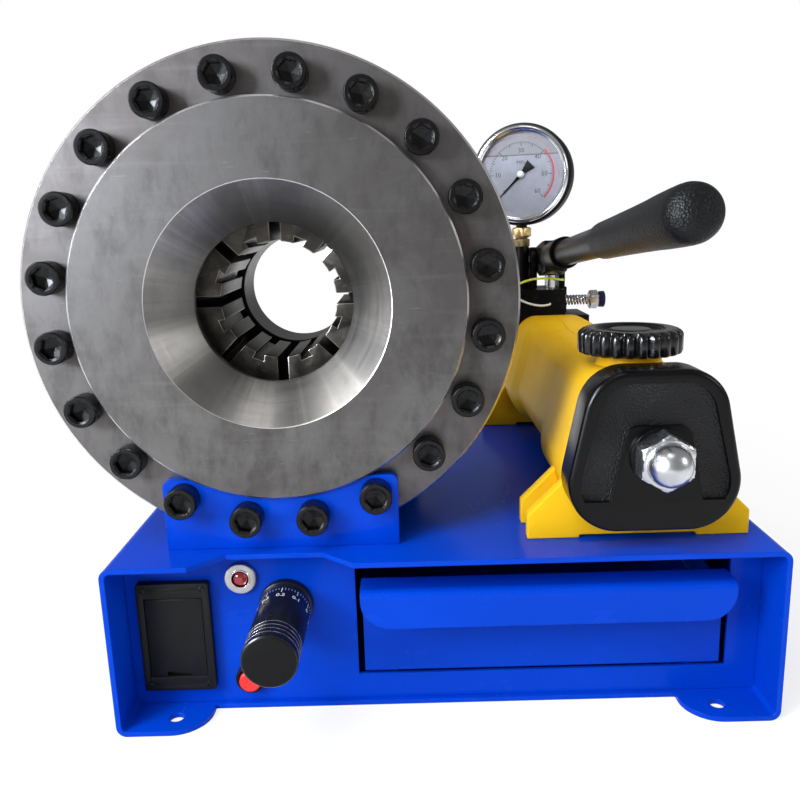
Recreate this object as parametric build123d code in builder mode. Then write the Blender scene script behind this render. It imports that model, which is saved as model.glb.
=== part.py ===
from build123d import *
import math
import os

# Hand-pumped hose crimping machine: sheet-metal base with drawer and control panel,
# eight-die crimping head, hand pump with its oil tank, lever and pressure gauge.
# +X to the right, +Y to the rear, +Z up; the origin is the middle of the footprint on the bench.

os.makedirs("parts", exist_ok=True)

# ---------------------------------------------------------------- running clearances
shaft_clearance = 0.05
slide_clearance = 0.3
screw_clearance = 0.25

# ---------------------------------------------------------------- base: folded sheet tube
base_width = 500.0
base_depth = 420.0
base_height = 136.0
sheet = 4.0
bend_radius = 8.0
panel_setback = 38.0
panel_sheet = 3.0
notch_inset = 124.0
notch_front_width = 120.0
notch_rear_width = 72.0
notch_depth = 21.0
tab_width = 68.0
tab_radius = 28.0
tab_cut_depth = 34.0
floor_bolt_diameter = 11.5
floor_bolt_side = 41.0
floor_bolt_inset = 17.7

# ---------------------------------------------------------------- drawer
drawer_left_inset = 182.5
drawer_right_inset = 28.5
drawer_opening_bottom = 25.0
drawer_opening_top = 18.0
drawer_side_gap = 5.0
drawer_rear_gap = 82.0
drawer_sheet = 2.0
drawer_rise = 3.0
drawer_wall_drop = 25.0
drawer_front_drop = 15.0
lip_reach = 26.0
lip_drop = 28.0
lip_corner = 22.0
lip_bend = 4.0
runner_width = 22.0
runner_sheet = 2.0
runner_inset = 14.0

# ---------------------------------------------------------------- control module
module_inset = 42.0
module_width = 56.0
module_floor_gap = 15.0
module_top_gap = 23.0
module_frame_depth = 7.0
module_body_depth = 40.0
module_rim = 5.5
module_head_rim = 12.0
module_corner = 2.0
cover_thickness = 2.6
cover_gap = 0.4
cover_latch_width = 18.0
cover_latch_height = 3.5
cover_hinge_radius = 1.3
module_screw_diameter = 4.6
module_screw_inset = 5.0
module_screw_proud = 0.6

# ---------------------------------------------------------------- lamp, button, adjusting knob
lamp_inset = 94.5
lamp_drop = 26.0
lamp_bezel_diameter = 25.0
lamp_bezel_height = 4.0
lamp_body_diameter = 16.0
lamp_lens_diameter = 11.5
lamp_body_length = 24.0
button_inset = 97.0
button_z = 25.0
button_bezel_diameter = 24.0
button_bezel_height = 5.0
button_diameter = 17.0
button_proud = 4.0
button_stem_diameter = 8.0
button_travel = 3.0
button_body_diameter = 14.0
button_body_length = 22.0
knob_inset = 128.5
knob_drop = 49.0
knob_diameter = 39.5
knob_length = 79.0
knob_edge = 1.2
knob_groove_count = 4
knob_groove_pitch = 5.0
knob_groove_width = 1.6
knob_groove_depth = 1.0
knob_groove_start = 6.0
collar_diameter = 42.0
collar_length = 6.5
spindle_diameter = 12.0
spindle_length = 150.0
spindle_block_length = 24.0
spindle_block_diameter = 26.0

# ---------------------------------------------------------------- crimping head
head_inset = 130.0
head_clearance = 7.0
cover_overhang = 5.5
cover_setback = 43.4
cover_plate = 25.0
boss_step = 38.0
boss_proud = 13.4
cone_outer_radius = 88.0
cone_inner_radius = 59.0
cone_depth = 29.5
edge_break = 1.5
guide_radius = 83.0
guide_reach = 16.4
guide_bore = 64.0
barrel_outer_radius = 175.0
barrel_wall = 53.0
cover_screw_inset = 17.0
cover_screw_count = 20
screw_diameter = 16.0
screw_head_diameter = 24.0
screw_head_height = 16.0
screw_length = 45.0
screw_hex = 14.0
screw_hex_depth = 8.0
die_length = 80.0
die_inner_radius = 44.6
die_gap = 8.0
die_count = 8
wedge_angle = 20.0
die_rear_height = 20.0
die_close = 9.4
die_slot_width = 7.0
die_slot_depth = 5.0
die_slot_flare = 2.0
piston_front_gap = 1.4
piston_web = 14.0
piston_web_gap = 1.2
tube_inner_radius = 47.0
tube_outer_radius = 56.0
tube_tail = 12.0
chamber = 3.0
rear_cover_plate = 18.0
rear_screw_count = 12
rear_screw_inset = 26.0
rear_screw_diameter = 12.0
rear_screw_head_diameter = 18.0
rear_screw_head_height = 12.0
rear_screw_length = 34.0
head_bracket_width = 176.0
head_bracket_height = 55.0
head_bracket_plate = 10.0
head_bracket_corner = 6.0
rear_bracket_plate = 10.0
rear_bracket_width = 210.0
rear_bracket_height = 62.0

# ---------------------------------------------------------------- hand pump
pump_inset = 101.6
axis_rise = 78.0
tank_front_setback = 45.0
tank_rear_gap = 28.0
tank_top_rise = 127.0
tank_bottom_rise = 16.0
tank_top_half = 38.0
tank_bottom_half = 67.0
tank_top_corner = 24.0
tank_bottom_corner = 34.0
tank_front_section = 92.0
tank_rear_section = 58.0
tank_blend = 24.0
tank_waist_inset = 5.0
foot_plate = 10.0
foot_half_width = 83.6
foot_end_height = 19.0
foot_pair_pitch = 33.0
foot_relief_half = 44.0
foot_relief_height = 2.5
cap_depth = 30.0
cap_shift = 2.6
cap_side_grow = 2.5
cap_shoulder_grow = 7.0
cap_top_grow = 6.5
cap_bottom_grow = 0.5
cap_top_corner = 33.0
cap_bottom_corner = 36.0
cap_rim = 9.0
cap_edge = 4.2
cap_recess = 4.0
cap_boss_top = 21.0
cap_boss_top_half = 22.0
cap_boss_side_half = 33.0
cap_band_bottom = 34.0
cap_boss_corner = 9.0
cap_boss_proud = 3.0
rod_shift = 3.6
rod_drop = 5.0
tie_rod_diameter = 20.0
nut_flats = 36.0
nut_height = 18.0
dome_radius = 15.0
dome_height = 17.0
washer_radius = 21.0
washer_thickness = 3.0
filler_setback = 74.0
neck_radius = 24.0
neck_rise = 8.0
neck_bore_radius = 17.0
filler_cap_radius = 39.2
filler_cap_height = 19.5
filler_cap_flutes = 24
filler_flute_radius = 3.4
filler_plug_length = 16.0

# pump block, plunger and lever
block_left_reach = 44.4
block_right_reach = 41.6
block_depth = 66.0
block_shoulder_rise = 126.0
block_neck_reach = 13.6
block_top_rise = 156.0
ear_pad_reach = 22.0
ear_pad_front = 16.0
gauge_boss_radius = 8.8
gauge_boss_rise = 204.0
ear_thickness = 7.0
ear_radius = 14.0
pivot_rise = 33.0
pivot_diameter = 12.0
pivot_overhang = 22.0
arm_length = 28.0
arm_drop_angle = 19.5
link_pin_diameter = 8.0
plunger_diameter = 12.0
plunger_eye_width = 11.0
plunger_eye_height = 17.0
plunger_eye_depth = 18.0
plunger_slot_play = 0.5
plunger_slot_run = 3.2
plunger_bore_depth = 60.0
cheek_thickness = 6.0
cheek_gap = 13.0
cheek_pivot_radius = 13.5
cheek_link_radius = 9.0
yoke_web_start = 44.0
yoke_web_end = 62.0
lever_rise_angle = 5.7
lever_tube_radius = 13.5
lever_tube_length = 345.0
socket_radius = 17.0
socket_length = 58.0
grip_start_radius = 15.8
grip_end_radius = 18.8
grip_length = 222.0
grip_overlap = 120.0

# release valve and its sprung rod
release_inset = 14.0
release_rise = 142.5
rod_radius = 3.0
rod_length = 48.0
rod_seat = 12.0
rod_travel = 6.0
spring_radius = 6.0
spring_wire = 1.4
spring_turns = 9
release_knob_radius = 11.0
release_knob_length = 18.0

# gauge
gauge_offset = 33.4
gauge_overhang = 11.0
gauge_rise = 287.0
gauge_turn = 16.0
gauge_stem_depth = 16.0
bezel_radius = 55.0
bezel_width = 6.5
bezel_depth = 9.0
case_radius = 52.5
case_depth = 40.0
dial_radius = 49.0
glass_thickness = 2.0
boot_radius = 58.5
boot_cover = 37.0
needle_length = 40.0
needle_tail = 15.0
gauge_fitting_flats = 21.0
gauge_stem_radius = 6.5

# oil pipe between pump and head
pipe_radius = 5.0
pipe_bend = 24.0
pipe_port_inset = 75.0
pipe_port_angle = -15.0
pipe_overhang = 10.0
pipe_elbow_reach = 108.4
pipe_block_rise = 100.0
pipe_nut_flats = 19.0
pipe_nut_length = 14.0

# two switch leads from the pump to the base
lead_radius = 1.25
lead_bend_share = 0.45
lead_side_gap = 9.0
lead_pair_gap = 4.2
lead_rear_gap = 8.0
lead_ear_drop = 24.0
lead_face_drop = 16.0
lead_front_gap = 5.5

# ================================================================ derived places
front_y = -base_depth / 2
left_x = -base_width / 2
panel_y = front_y + panel_setback
notch_x = left_x + notch_inset
floor_bolt_x = base_width / 2 - floor_bolt_side
inner_width = base_width - 2 * sheet
inner_height = base_height - 2 * sheet
inner_radius = bend_radius - sheet
floor_y = front_y + floor_bolt_inset
drawer_opening_width = base_width - drawer_left_inset - drawer_right_inset
drawer_opening_height = base_height - drawer_opening_bottom - drawer_opening_top
drawer_x = (drawer_left_inset - drawer_right_inset) / 2
drawer_length = base_depth / 2 - drawer_rear_gap - panel_y
drawer_wall_height = drawer_opening_height - drawer_wall_drop
drawer_front_height = drawer_opening_height - drawer_front_drop
drawer_width = drawer_opening_width - 2 * drawer_side_gap
drawer_bottom = drawer_opening_bottom + drawer_rise
module_x = left_x + module_inset
module_height = inner_height - module_floor_gap - module_top_gap
module_z = sheet + module_floor_gap + module_height / 2
lamp_x = left_x + lamp_inset
lamp_z = base_height - lamp_drop
button_x = left_x + button_inset
knob_x = left_x + knob_inset
knob_z = base_height - knob_drop
head_x = left_x + head_inset
head_z = base_height + barrel_outer_radius + head_clearance
cover_radius = barrel_outer_radius + cover_overhang
boss_radius = cover_radius - boss_step
piston_radius = barrel_outer_radius - barrel_wall
cover_screw_circle = barrel_outer_radius - cover_screw_inset
rear_screw_circle = barrel_outer_radius - rear_screw_inset
pipe_port_radius = barrel_outer_radius - pipe_port_inset
cover_y = front_y + cover_setback
boss_y = cover_y - boss_proud
cover_back = cover_y + cover_plate
die_front = cover_back + guide_reach
die_back = die_front + die_length
wedge = math.tan(math.radians(wedge_angle))
piston_stroke = die_close / wedge
piston_front = cover_back + piston_stroke + piston_front_gap
web_front = die_back + piston_stroke + piston_web_gap
web_back = web_front + piston_web
barrel_back = web_back + chamber
rear_back = barrel_back + rear_cover_plate
die_rear_apothem = die_inner_radius + die_rear_height
barrel_bore = piston_radius + shaft_clearance
pump_x = base_width / 2 - pump_inset
axis_z = base_height + axis_rise
rod_x = pump_x + rod_shift
rod_z = axis_z - rod_drop
tank_top = base_height + tank_top_rise
tank_bottom = base_height + tank_bottom_rise
neck_top = tank_top + neck_rise
foot_y = front_y + tank_front_setback - foot_plate
tank_y = front_y + tank_front_setback
tank_length = base_depth - tank_front_setback - tank_rear_gap
tank_back = tank_y + tank_length
cap_y = foot_y - cap_depth
block_left = pump_x - block_left_reach
block_right = pump_x + block_right_reach
block_neck_right = pump_x + block_neck_reach
block_shoulder = base_height + block_shoulder_rise
block_top = base_height + block_top_rise
gauge_boss_top = base_height + gauge_boss_rise
release_y = base_depth / 2 - release_inset
release_z = base_height + release_rise
gauge_x = pump_x - gauge_offset
gauge_y = base_depth / 2 + gauge_overhang
gauge_z = base_height + gauge_rise
pipe_y = base_depth / 2 + pipe_overhang
pipe_elbow_x = pump_x - pipe_elbow_reach
pipe_block_z = base_height + pipe_block_rise
pivot_y = base_depth / 2 + pivot_overhang
pivot_z = block_top + pivot_rise
plunger_y = pivot_y - arm_length * math.cos(math.radians(arm_drop_angle))
link_z = pivot_z - arm_length * math.sin(math.radians(arm_drop_angle))
block_back = tank_back + block_depth


def front(y):
    """Plane facing the front at depth y; positive extrusion comes forward."""
    return Plane(origin=(0, y, 0), x_dir=(1, 0, 0), z_dir=(0, -1, 0))


def axial(x, z):
    """Plane through a front-to-rear axis, with local x along +Y and local y up."""
    return Plane(origin=(x, 0, z), x_dir=(0, 1, 0), z_dir=(1, 0, 0))


def axle(x, z):
    """Front-to-rear axis at x, z."""
    return Axis((x, 0, z), (0, 1, 0))


def save(piece, label):
    piece.part.label = label
    export_step(piece.part, f"parts/{label}.step")


# ================================================================ base
with BuildPart() as base_shell:
    with BuildSketch(front(front_y)):
        with Locations((0, base_height / 2)):
            RectangleRounded(base_width, base_height, bend_radius)
            RectangleRounded(inner_width, inner_height, inner_radius, mode=Mode.SUBTRACT)
    extrude(amount=-base_depth)
    # trapezoid notch over the lamp and the knob
    with BuildSketch(Plane.XY.offset(base_height)):
        Polygon(
            (notch_x - notch_front_width / 2, front_y),
            (notch_x + notch_front_width / 2, front_y),
            (notch_x + notch_rear_width / 2, front_y + notch_depth),
            (notch_x - notch_rear_width / 2, front_y + notch_depth),
            align=None,
        )
    extrude(amount=-sheet, mode=Mode.SUBTRACT)
    # the bottom plate is cut back between its bolt-down tabs, front and rear
    tab_x = base_width / 2 - tab_width
    arc_x = tab_x + tab_radius
    arc_mid = tab_radius * (1 - math.sqrt(0.5))
    for side in (1, -1):
        edge_y = side * front_y
        cut_y = side * (front_y + tab_cut_depth)
        arc_y = side * (front_y + tab_radius)
        mid_y = side * (front_y + arc_mid)
        with BuildSketch(Plane.XY):
            with BuildLine():
                Line((-arc_x, edge_y), (arc_x, edge_y))
                ThreePointArc((arc_x, edge_y), (tab_x + arc_mid, mid_y), (tab_x, arc_y))
                Polyline((tab_x, arc_y), (tab_x, cut_y), (-tab_x, cut_y), (-tab_x, arc_y))
                ThreePointArc((-tab_x, arc_y), (-tab_x - arc_mid, mid_y), (-arc_x, edge_y))
            make_face()
        extrude(amount=sheet, mode=Mode.SUBTRACT)
    with BuildSketch(Plane.XY):
        with GridLocations(2 * floor_bolt_x, -2 * floor_y, 2, 2):
            Circle(floor_bolt_diameter / 2)
    extrude(amount=sheet, mode=Mode.SUBTRACT)
save(base_shell, "base_shell")

module_cut_width = module_width - 2 * module_rim
module_cut_height = module_height - 2 * module_rim
with BuildPart() as front_panel:
    with BuildSketch(front(panel_y)):
        with Locations((0, base_height / 2)):
            RectangleRounded(inner_width, inner_height, inner_radius)
        with Locations((drawer_x, drawer_opening_bottom + drawer_opening_height / 2)):
            Rectangle(drawer_opening_width, drawer_opening_height, mode=Mode.SUBTRACT)
        with Locations((module_x, module_z)):
            Rectangle(module_cut_width, module_cut_height, mode=Mode.SUBTRACT)
        with Locations((lamp_x, lamp_z)):
            Circle(lamp_body_diameter / 2 + screw_clearance, mode=Mode.SUBTRACT)
        with Locations((button_x, button_z)):
            Circle(button_body_diameter / 2 + screw_clearance, mode=Mode.SUBTRACT)
        with Locations((knob_x, knob_z)):
            Circle(spindle_diameter / 2 + screw_clearance, mode=Mode.SUBTRACT)
    extrude(amount=-panel_sheet)
save(front_panel, "front_panel")

rear_panel_y = -panel_y - panel_sheet
with BuildPart() as rear_panel:
    with BuildSketch(front(rear_panel_y)):
        with Locations((0, base_height / 2)):
            RectangleRounded(inner_width, inner_height, inner_radius)
    extrude(amount=-panel_sheet)
save(rear_panel, "rear_panel")

# two folded runners stand on the bottom plate and carry the drawer
runner_front = panel_y + panel_sheet
runner_length = rear_panel_y - runner_front
runner_height = drawer_bottom - slide_clearance - sheet
runner_x = drawer_width / 2 - runner_inset
with BuildPart() as drawer_runners:
    with BuildSketch(front(runner_front)):
        with Locations((drawer_x - runner_x, sheet), (drawer_x + runner_x, sheet)):
            Rectangle(runner_width, runner_height, align=(Align.CENTER, Align.MIN))
        with Locations((drawer_x - runner_x - runner_sheet, sheet + runner_sheet)):
            Rectangle(
                runner_width, runner_height - 2 * runner_sheet, mode=Mode.SUBTRACT,
                align=(Align.CENTER, Align.MIN),
            )
        with Locations((drawer_x + runner_x + runner_sheet, sheet + runner_sheet)):
            Rectangle(
                runner_width, runner_height - 2 * runner_sheet, mode=Mode.SUBTRACT,
                align=(Align.CENTER, Align.MIN),
            )
    extrude(amount=-runner_length)
save(drawer_runners, "drawer_runners")

# drawer: folded tray whose front runs out into a shelf and a hanging lip to pull by
drawer_front_top = drawer_bottom + drawer_front_height
with BuildPart() as drawer_tray:
    with BuildSketch(Plane.XY.offset(drawer_bottom)):
        with Locations((drawer_x, panel_y)):
            Rectangle(drawer_width, drawer_length, align=(Align.CENTER, Align.MIN))
    extrude(amount=drawer_wall_height)
    with BuildSketch(Plane.XY.offset(drawer_bottom + drawer_sheet)):
        with Locations((drawer_x, panel_y + drawer_sheet)):
            Rectangle(
                drawer_width - 2 * drawer_sheet, drawer_length - 2 * drawer_sheet,
                align=(Align.CENTER, Align.MIN),
            )
    extrude(amount=drawer_wall_height, mode=Mode.SUBTRACT)
    with BuildSketch(axial(drawer_x - drawer_width / 2, 0)):
        with BuildLine():
            FilletPolyline(
                (panel_y, drawer_bottom),
                (panel_y, drawer_front_top),
                (panel_y - lip_reach, drawer_front_top),
                (panel_y - lip_reach, drawer_front_top - lip_drop),
                radius=lip_bend,
            )
            offset(amount=drawer_sheet, side=Side.RIGHT)
        make_face()
    extrude(amount=drawer_width)
    lip_edges = drawer_tray.edges().filter_by(Axis.Y).group_by(Axis.Z)
    lip_edges = [
        e for g in lip_edges for e in g
        if e.center().Y < panel_y - lip_reach + drawer_sheet + 1
        and abs(e.center().Z - (drawer_front_top - lip_drop)) < 0.5
    ]
    fillet(lip_edges, lip_corner)
save(drawer_tray, "drawer_tray")

# ================================================================ control module
frame_y = panel_y - module_frame_depth
well_width = module_width - 2 * module_rim
well_top = module_z + module_height / 2 - module_head_rim
well_bottom = module_z - module_height / 2 + module_head_rim
well_height = well_top - well_bottom
cover_seat = frame_y + cover_thickness + 2
with BuildPart() as control_module:
    with BuildSketch(front(panel_y)):
        with Locations((module_x, module_z)):
            RectangleRounded(module_width, module_height, module_corner)
    extrude(amount=module_frame_depth)
    with BuildSketch(front(panel_y)):
        with Locations((module_x, module_z)):
            Rectangle(module_cut_width - 2 * screw_clearance, module_cut_height - 2 * screw_clearance)
    extrude(amount=-module_body_depth)
    with BuildSketch(front(frame_y)):
        with Locations((module_x, (well_top + well_bottom) / 2)):
            Rectangle(well_width, well_height)
    extrude(amount=-(cover_seat - frame_y), mode=Mode.SUBTRACT)
    with BuildSketch(front(frame_y)):
        with Locations((module_x, module_z)):
            with GridLocations(
                module_width - 2 * module_screw_inset, module_height - 2 * module_screw_inset, 2, 2
            ):
                Circle(module_screw_diameter / 2 - 1)
    extrude(amount=-module_frame_depth, mode=Mode.SUBTRACT)
save(control_module, "control_module")

hinge_y = frame_y + cover_hinge_radius + 0.3
hinge_z = well_top - cover_gap - cover_hinge_radius
with BuildPart() as module_cover:
    with BuildSketch(front(hinge_y - cover_hinge_radius)):
        with Locations((module_x, well_bottom + cover_gap)):
            Rectangle(
                well_width - 2 * cover_gap, hinge_z - well_bottom - cover_gap,
                align=(Align.CENTER, Align.MIN),
            )
            Rectangle(
                cover_latch_width, cover_latch_height, mode=Mode.SUBTRACT,
                align=(Align.CENTER, Align.MIN),
            )
    extrude(amount=-cover_thickness)
    with BuildSketch(Plane.YZ.offset(module_x - well_width / 2 + cover_gap)):
        with Locations((hinge_y, hinge_z)):
            Circle(cover_hinge_radius)
    extrude(amount=well_width - 2 * cover_gap)
save(module_cover, "module_cover")

with BuildPart() as module_screws:
    with BuildSketch(front(frame_y)):
        with Locations((module_x, module_z)):
            with GridLocations(
                module_width - 2 * module_screw_inset, module_height - 2 * module_screw_inset, 2, 2
            ):
                Circle(module_screw_diameter / 2)
    extrude(amount=module_screw_proud)
    with BuildSketch(front(frame_y)):
        with Locations((module_x, module_z)):
            with GridLocations(
                module_width - 2 * module_screw_inset, module_height - 2 * module_screw_inset, 2, 2
            ):
                Circle(module_screw_diameter / 2 - 1 - shaft_clearance)
    extrude(amount=-module_frame_depth)
save(module_screws, "module_screws")

# ================================================================ lamp
with BuildPart() as lamp_bezel:
    with BuildSketch(axial(lamp_x, lamp_z)):
        Polygon(
            (panel_y, 0), (panel_y, lamp_bezel_diameter / 2),
            (panel_y - lamp_bezel_height + 1.5, lamp_bezel_diameter / 2),
            (panel_y - lamp_bezel_height, lamp_bezel_diameter / 2 - 2.5),
            (panel_y - lamp_bezel_height, lamp_lens_diameter / 2 + 1.2),
            (panel_y - 1.0, lamp_lens_diameter / 2 + 0.1),
            (panel_y + 2.0, lamp_lens_diameter / 2 + 0.1), (panel_y + 2.0, 0),
            align=None,
        )
        Polygon(
            (panel_y - 1.0, lamp_lens_diameter / 2 + 0.1),
            (panel_y - 1.0, lamp_body_diameter / 2),
            (panel_y + lamp_body_length, lamp_body_diameter / 2),
            (panel_y + lamp_body_length, 0), (panel_y + 2.0, 0),
            (panel_y + 2.0, lamp_lens_diameter / 2 + 0.1),
            align=None,
        )
        Polygon(
            (panel_y - 6, 0), (panel_y + 2.0, 0), (panel_y + 2.0, lamp_lens_diameter / 2 + 0.1),
            (panel_y - 6, lamp_lens_diameter / 2 + 0.1),
            align=None, mode=Mode.SUBTRACT,
        )
    revolve(axis=axle(lamp_x, lamp_z))
save(lamp_bezel, "lamp_bezel")

with BuildPart() as lamp_lens:
    with BuildSketch(axial(lamp_x, lamp_z)):
        with BuildLine():
            lens_radius = lamp_lens_diameter / 2
            Polyline((panel_y - 2.2, lens_radius), (panel_y + 2.0, lens_radius), (panel_y + 2.0, 0))
            Line((panel_y + 2.0, 0), (panel_y - 5.2, 0))
            ThreePointArc(
                (panel_y - 5.2, 0), (panel_y - 4.3, lens_radius * 0.62), (panel_y - 2.2, lens_radius)
            )
        make_face()
    revolve(axis=axle(lamp_x, lamp_z))
save(lamp_lens, "lamp_lens")

# ================================================================ stop button
button_face = panel_y - button_bezel_height
with BuildPart() as button_bezel:
    with BuildSketch(axial(button_x, button_z)):
        stem_hole = button_stem_diameter / 2 + shaft_clearance
        Polygon(
            (panel_y, stem_hole), (panel_y, button_body_diameter / 2),
            (panel_y + button_body_length, button_body_diameter / 2),
            (panel_y + button_body_length, stem_hole),
            align=None,
        )
        Polygon(
            (button_face, button_diameter / 2 + 0.6), (button_face, button_bezel_diameter / 2 - 1),
            (button_face + 1, button_bezel_diameter / 2), (panel_y, button_bezel_diameter / 2),
            (panel_y, stem_hole), (panel_y - 1.0, stem_hole),
            (panel_y - 1.0, button_diameter / 2 + 0.6),
            align=None,
        )
    revolve(axis=axle(button_x, button_z))
save(button_bezel, "button_bezel")

button_back = panel_y - 1.0 - button_travel - 0.3
with BuildPart() as stop_button:
    with BuildSketch(axial(button_x, button_z)):
        button_front = button_face - button_proud
        Polygon(
            (button_front, 0), (button_front, button_diameter / 2 - 1.5),
            (button_front + 1.5, button_diameter / 2), (button_back, button_diameter / 2),
            (button_back, button_stem_diameter / 2),
            (panel_y + button_body_length - 4, button_stem_diameter / 2),
            (panel_y + button_body_length - 4, 0),
            align=None,
        )
    revolve(axis=axle(button_x, button_z))
save(stop_button, "stop_button")

# ================================================================ adjusting knob
knob_back = panel_y - collar_length - slide_clearance
knob_front = knob_back - knob_length
with BuildPart() as knob_collar:
    with BuildSketch(axial(knob_x, knob_z)):
        collar_bore = spindle_diameter / 2 + shaft_clearance
        Polygon(
            (panel_y - collar_length, collar_bore),
            (panel_y - collar_length, collar_diameter / 2 - 1),
            (panel_y - collar_length + 1, collar_diameter / 2), (panel_y, collar_diameter / 2),
            (panel_y, collar_bore),
            align=None,
        )
        Polygon(
            (panel_y + panel_sheet, collar_bore),
            (panel_y + panel_sheet, spindle_block_diameter / 2),
            (panel_y + panel_sheet + spindle_block_length, spindle_block_diameter / 2),
            (panel_y + panel_sheet + spindle_block_length, collar_bore),
            align=None,
        )
    revolve(axis=axle(knob_x, knob_z))
save(knob_collar, "knob_collar")

with BuildPart() as adjust_knob:
    with BuildSketch(axial(knob_x, knob_z)):
        knob_radius = knob_diameter / 2
        Polygon(
            (knob_front, spindle_diameter / 2), (knob_front, knob_radius - knob_edge),
            (knob_front + knob_edge, knob_radius), (knob_back, knob_radius),
            (knob_back, spindle_diameter / 2),
            align=None,
        )
        Polygon(
            (knob_front, 0), (knob_front, spindle_diameter / 2),
            (knob_front + 4, spindle_diameter / 2), (knob_front + 4, 0),
            align=None,
        )
        for groove in range(knob_groove_count):
            groove_y = knob_front + knob_groove_start + groove * knob_groove_pitch
            with Locations((groove_y, knob_radius)):
                Rectangle(knob_groove_width, 2 * knob_groove_depth, mode=Mode.SUBTRACT)
    revolve(axis=axle(knob_x, knob_z))
save(adjust_knob, "adjust_knob")

with BuildPart() as adjust_spindle:
    with BuildSketch(front(knob_front + 4)):
        with Locations((knob_x, knob_z)):
            Circle(spindle_diameter / 2)
    extrude(amount=-spindle_length)
save(adjust_spindle, "adjust_spindle")

# ================================================================ crimping head
cover_edge = cover_radius - edge_break
boss_edge = boss_radius - edge_break
cone_back = boss_y + cone_depth
with BuildPart() as front_cover:
    with BuildSketch(axial(head_x, head_z)):
        Polygon(
            (boss_y, cone_outer_radius), (boss_y, boss_edge), (boss_y + edge_break, boss_radius),
            (cover_y, boss_radius), (cover_y, cover_edge), (cover_y + edge_break, cover_radius),
            (cover_back, cover_radius), (cover_back, guide_radius),
            (die_front - shaft_clearance, guide_radius), (die_front - shaft_clearance, guide_bore),
            (cone_back + 4, guide_bore), (cone_back + 4, cone_inner_radius),
            (cone_back, cone_inner_radius),
            align=None,
        )
    revolve(axis=axle(head_x, head_z))
    with BuildSketch(front(cover_y)):
        with Locations((head_x, head_z)):
            with PolarLocations(cover_screw_circle, cover_screw_count, 180 / cover_screw_count):
                Circle(screw_diameter / 2 + screw_clearance)
    extrude(amount=-cover_plate, mode=Mode.SUBTRACT)
save(front_cover, "front_cover")

with BuildPart() as head_barrel:
    with BuildSketch(axial(head_x, head_z)):
        Polygon(
            (cover_back, barrel_bore), (cover_back, barrel_outer_radius),
            (barrel_back, barrel_outer_radius), (barrel_back, barrel_bore),
            align=None,
        )
    revolve(axis=axle(head_x, head_z))
    with BuildSketch(front(cover_back)):
        with Locations((head_x, head_z)):
            with PolarLocations(cover_screw_circle, cover_screw_count, 180 / cover_screw_count):
                Circle(screw_diameter / 2 + screw_clearance)
    extrude(amount=-(screw_length - cover_plate + 3), mode=Mode.SUBTRACT)
    with BuildSketch(front(barrel_back)):
        with Locations((head_x, head_z)):
            with PolarLocations(rear_screw_circle, rear_screw_count):
                Circle(rear_screw_diameter / 2 + screw_clearance)
    extrude(amount=rear_screw_length - rear_cover_plate + 3, mode=Mode.SUBTRACT)
save(head_barrel, "head_barrel")

port_angle = math.radians(pipe_port_angle)
port_x = head_x + pipe_port_radius * math.cos(port_angle)
port_z = head_z + pipe_port_radius * math.sin(port_angle)
with BuildPart() as rear_cover:
    with BuildSketch(axial(head_x, head_z)):
        Polygon(
            (barrel_back, tube_outer_radius + shaft_clearance),
            (barrel_back, barrel_outer_radius), (rear_back - edge_break, barrel_outer_radius),
            (rear_back, barrel_outer_radius - edge_break),
            (rear_back, tube_outer_radius + shaft_clearance),
            align=None,
        )
    revolve(axis=axle(head_x, head_z))
    with BuildSketch(front(rear_back)):
        with Locations((head_x, head_z)):
            with PolarLocations(rear_screw_circle, rear_screw_count):
                Circle(rear_screw_diameter / 2 + screw_clearance)
        with Locations((port_x, port_z)):
            Circle(pipe_radius)
    extrude(amount=rear_cover_plate, mode=Mode.SUBTRACT)
save(rear_cover, "rear_cover")


def screw_place(k):
    """Position of cover screw k on its circle."""
    angle = math.radians((k + 0.5) * 360 / cover_screw_count)
    return (head_x + cover_screw_circle * math.cos(angle), head_z + cover_screw_circle * math.sin(angle))


# the screws low on the circle hold the front bracket too, so they seat on it
bracket_top = base_height + head_bracket_height
seats = [screw_place(k) for k in range(cover_screw_count)]
on_bracket = [
    p for p in seats if p[1] < bracket_top and abs(p[0] - head_x) < head_bracket_width / 2
]
on_cover = [p for p in seats if p not in on_bracket]
with BuildPart() as cover_screws:
    with BuildSketch(front(cover_y)):
        with Locations(*on_cover):
            Circle(screw_head_diameter / 2)
    extrude(amount=screw_head_height)
    with BuildSketch(front(cover_y)):
        with Locations(*on_cover):
            Circle(screw_diameter / 2)
    extrude(amount=-screw_length)
    with BuildSketch(front(cover_y - screw_head_height)):
        with Locations(*on_cover):
            RegularPolygon(screw_hex / 2, 6, major_radius=False)
    extrude(amount=-screw_hex_depth, mode=Mode.SUBTRACT)
save(cover_screws, "cover_screws")

bracket_y = cover_y - head_bracket_plate
with BuildPart() as bracket_screws:
    with BuildSketch(front(bracket_y)):
        with Locations(*on_bracket):
            Circle(screw_head_diameter / 2)
    extrude(amount=screw_head_height)
    with BuildSketch(front(bracket_y)):
        with Locations(*on_bracket):
            Circle(screw_diameter / 2)
    extrude(amount=-screw_length)
    with BuildSketch(front(bracket_y - screw_head_height)):
        with Locations(*on_bracket):
            RegularPolygon(screw_hex / 2, 6, major_radius=False)
    extrude(amount=-screw_hex_depth, mode=Mode.SUBTRACT)
save(bracket_screws, "bracket_screws")

with BuildPart() as rear_screws:
    with BuildSketch(front(rear_back)):
        with Locations((head_x, head_z)):
            with PolarLocations(rear_screw_circle, rear_screw_count):
                Circle(rear_screw_head_diameter / 2)
    extrude(amount=-rear_screw_head_height)
    with BuildSketch(front(rear_back)):
        with Locations((head_x, head_z)):
            with PolarLocations(rear_screw_circle, rear_screw_count):
                Circle(rear_screw_diameter / 2)
    extrude(amount=rear_screw_length)
save(rear_screws, "rear_screws")

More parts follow.
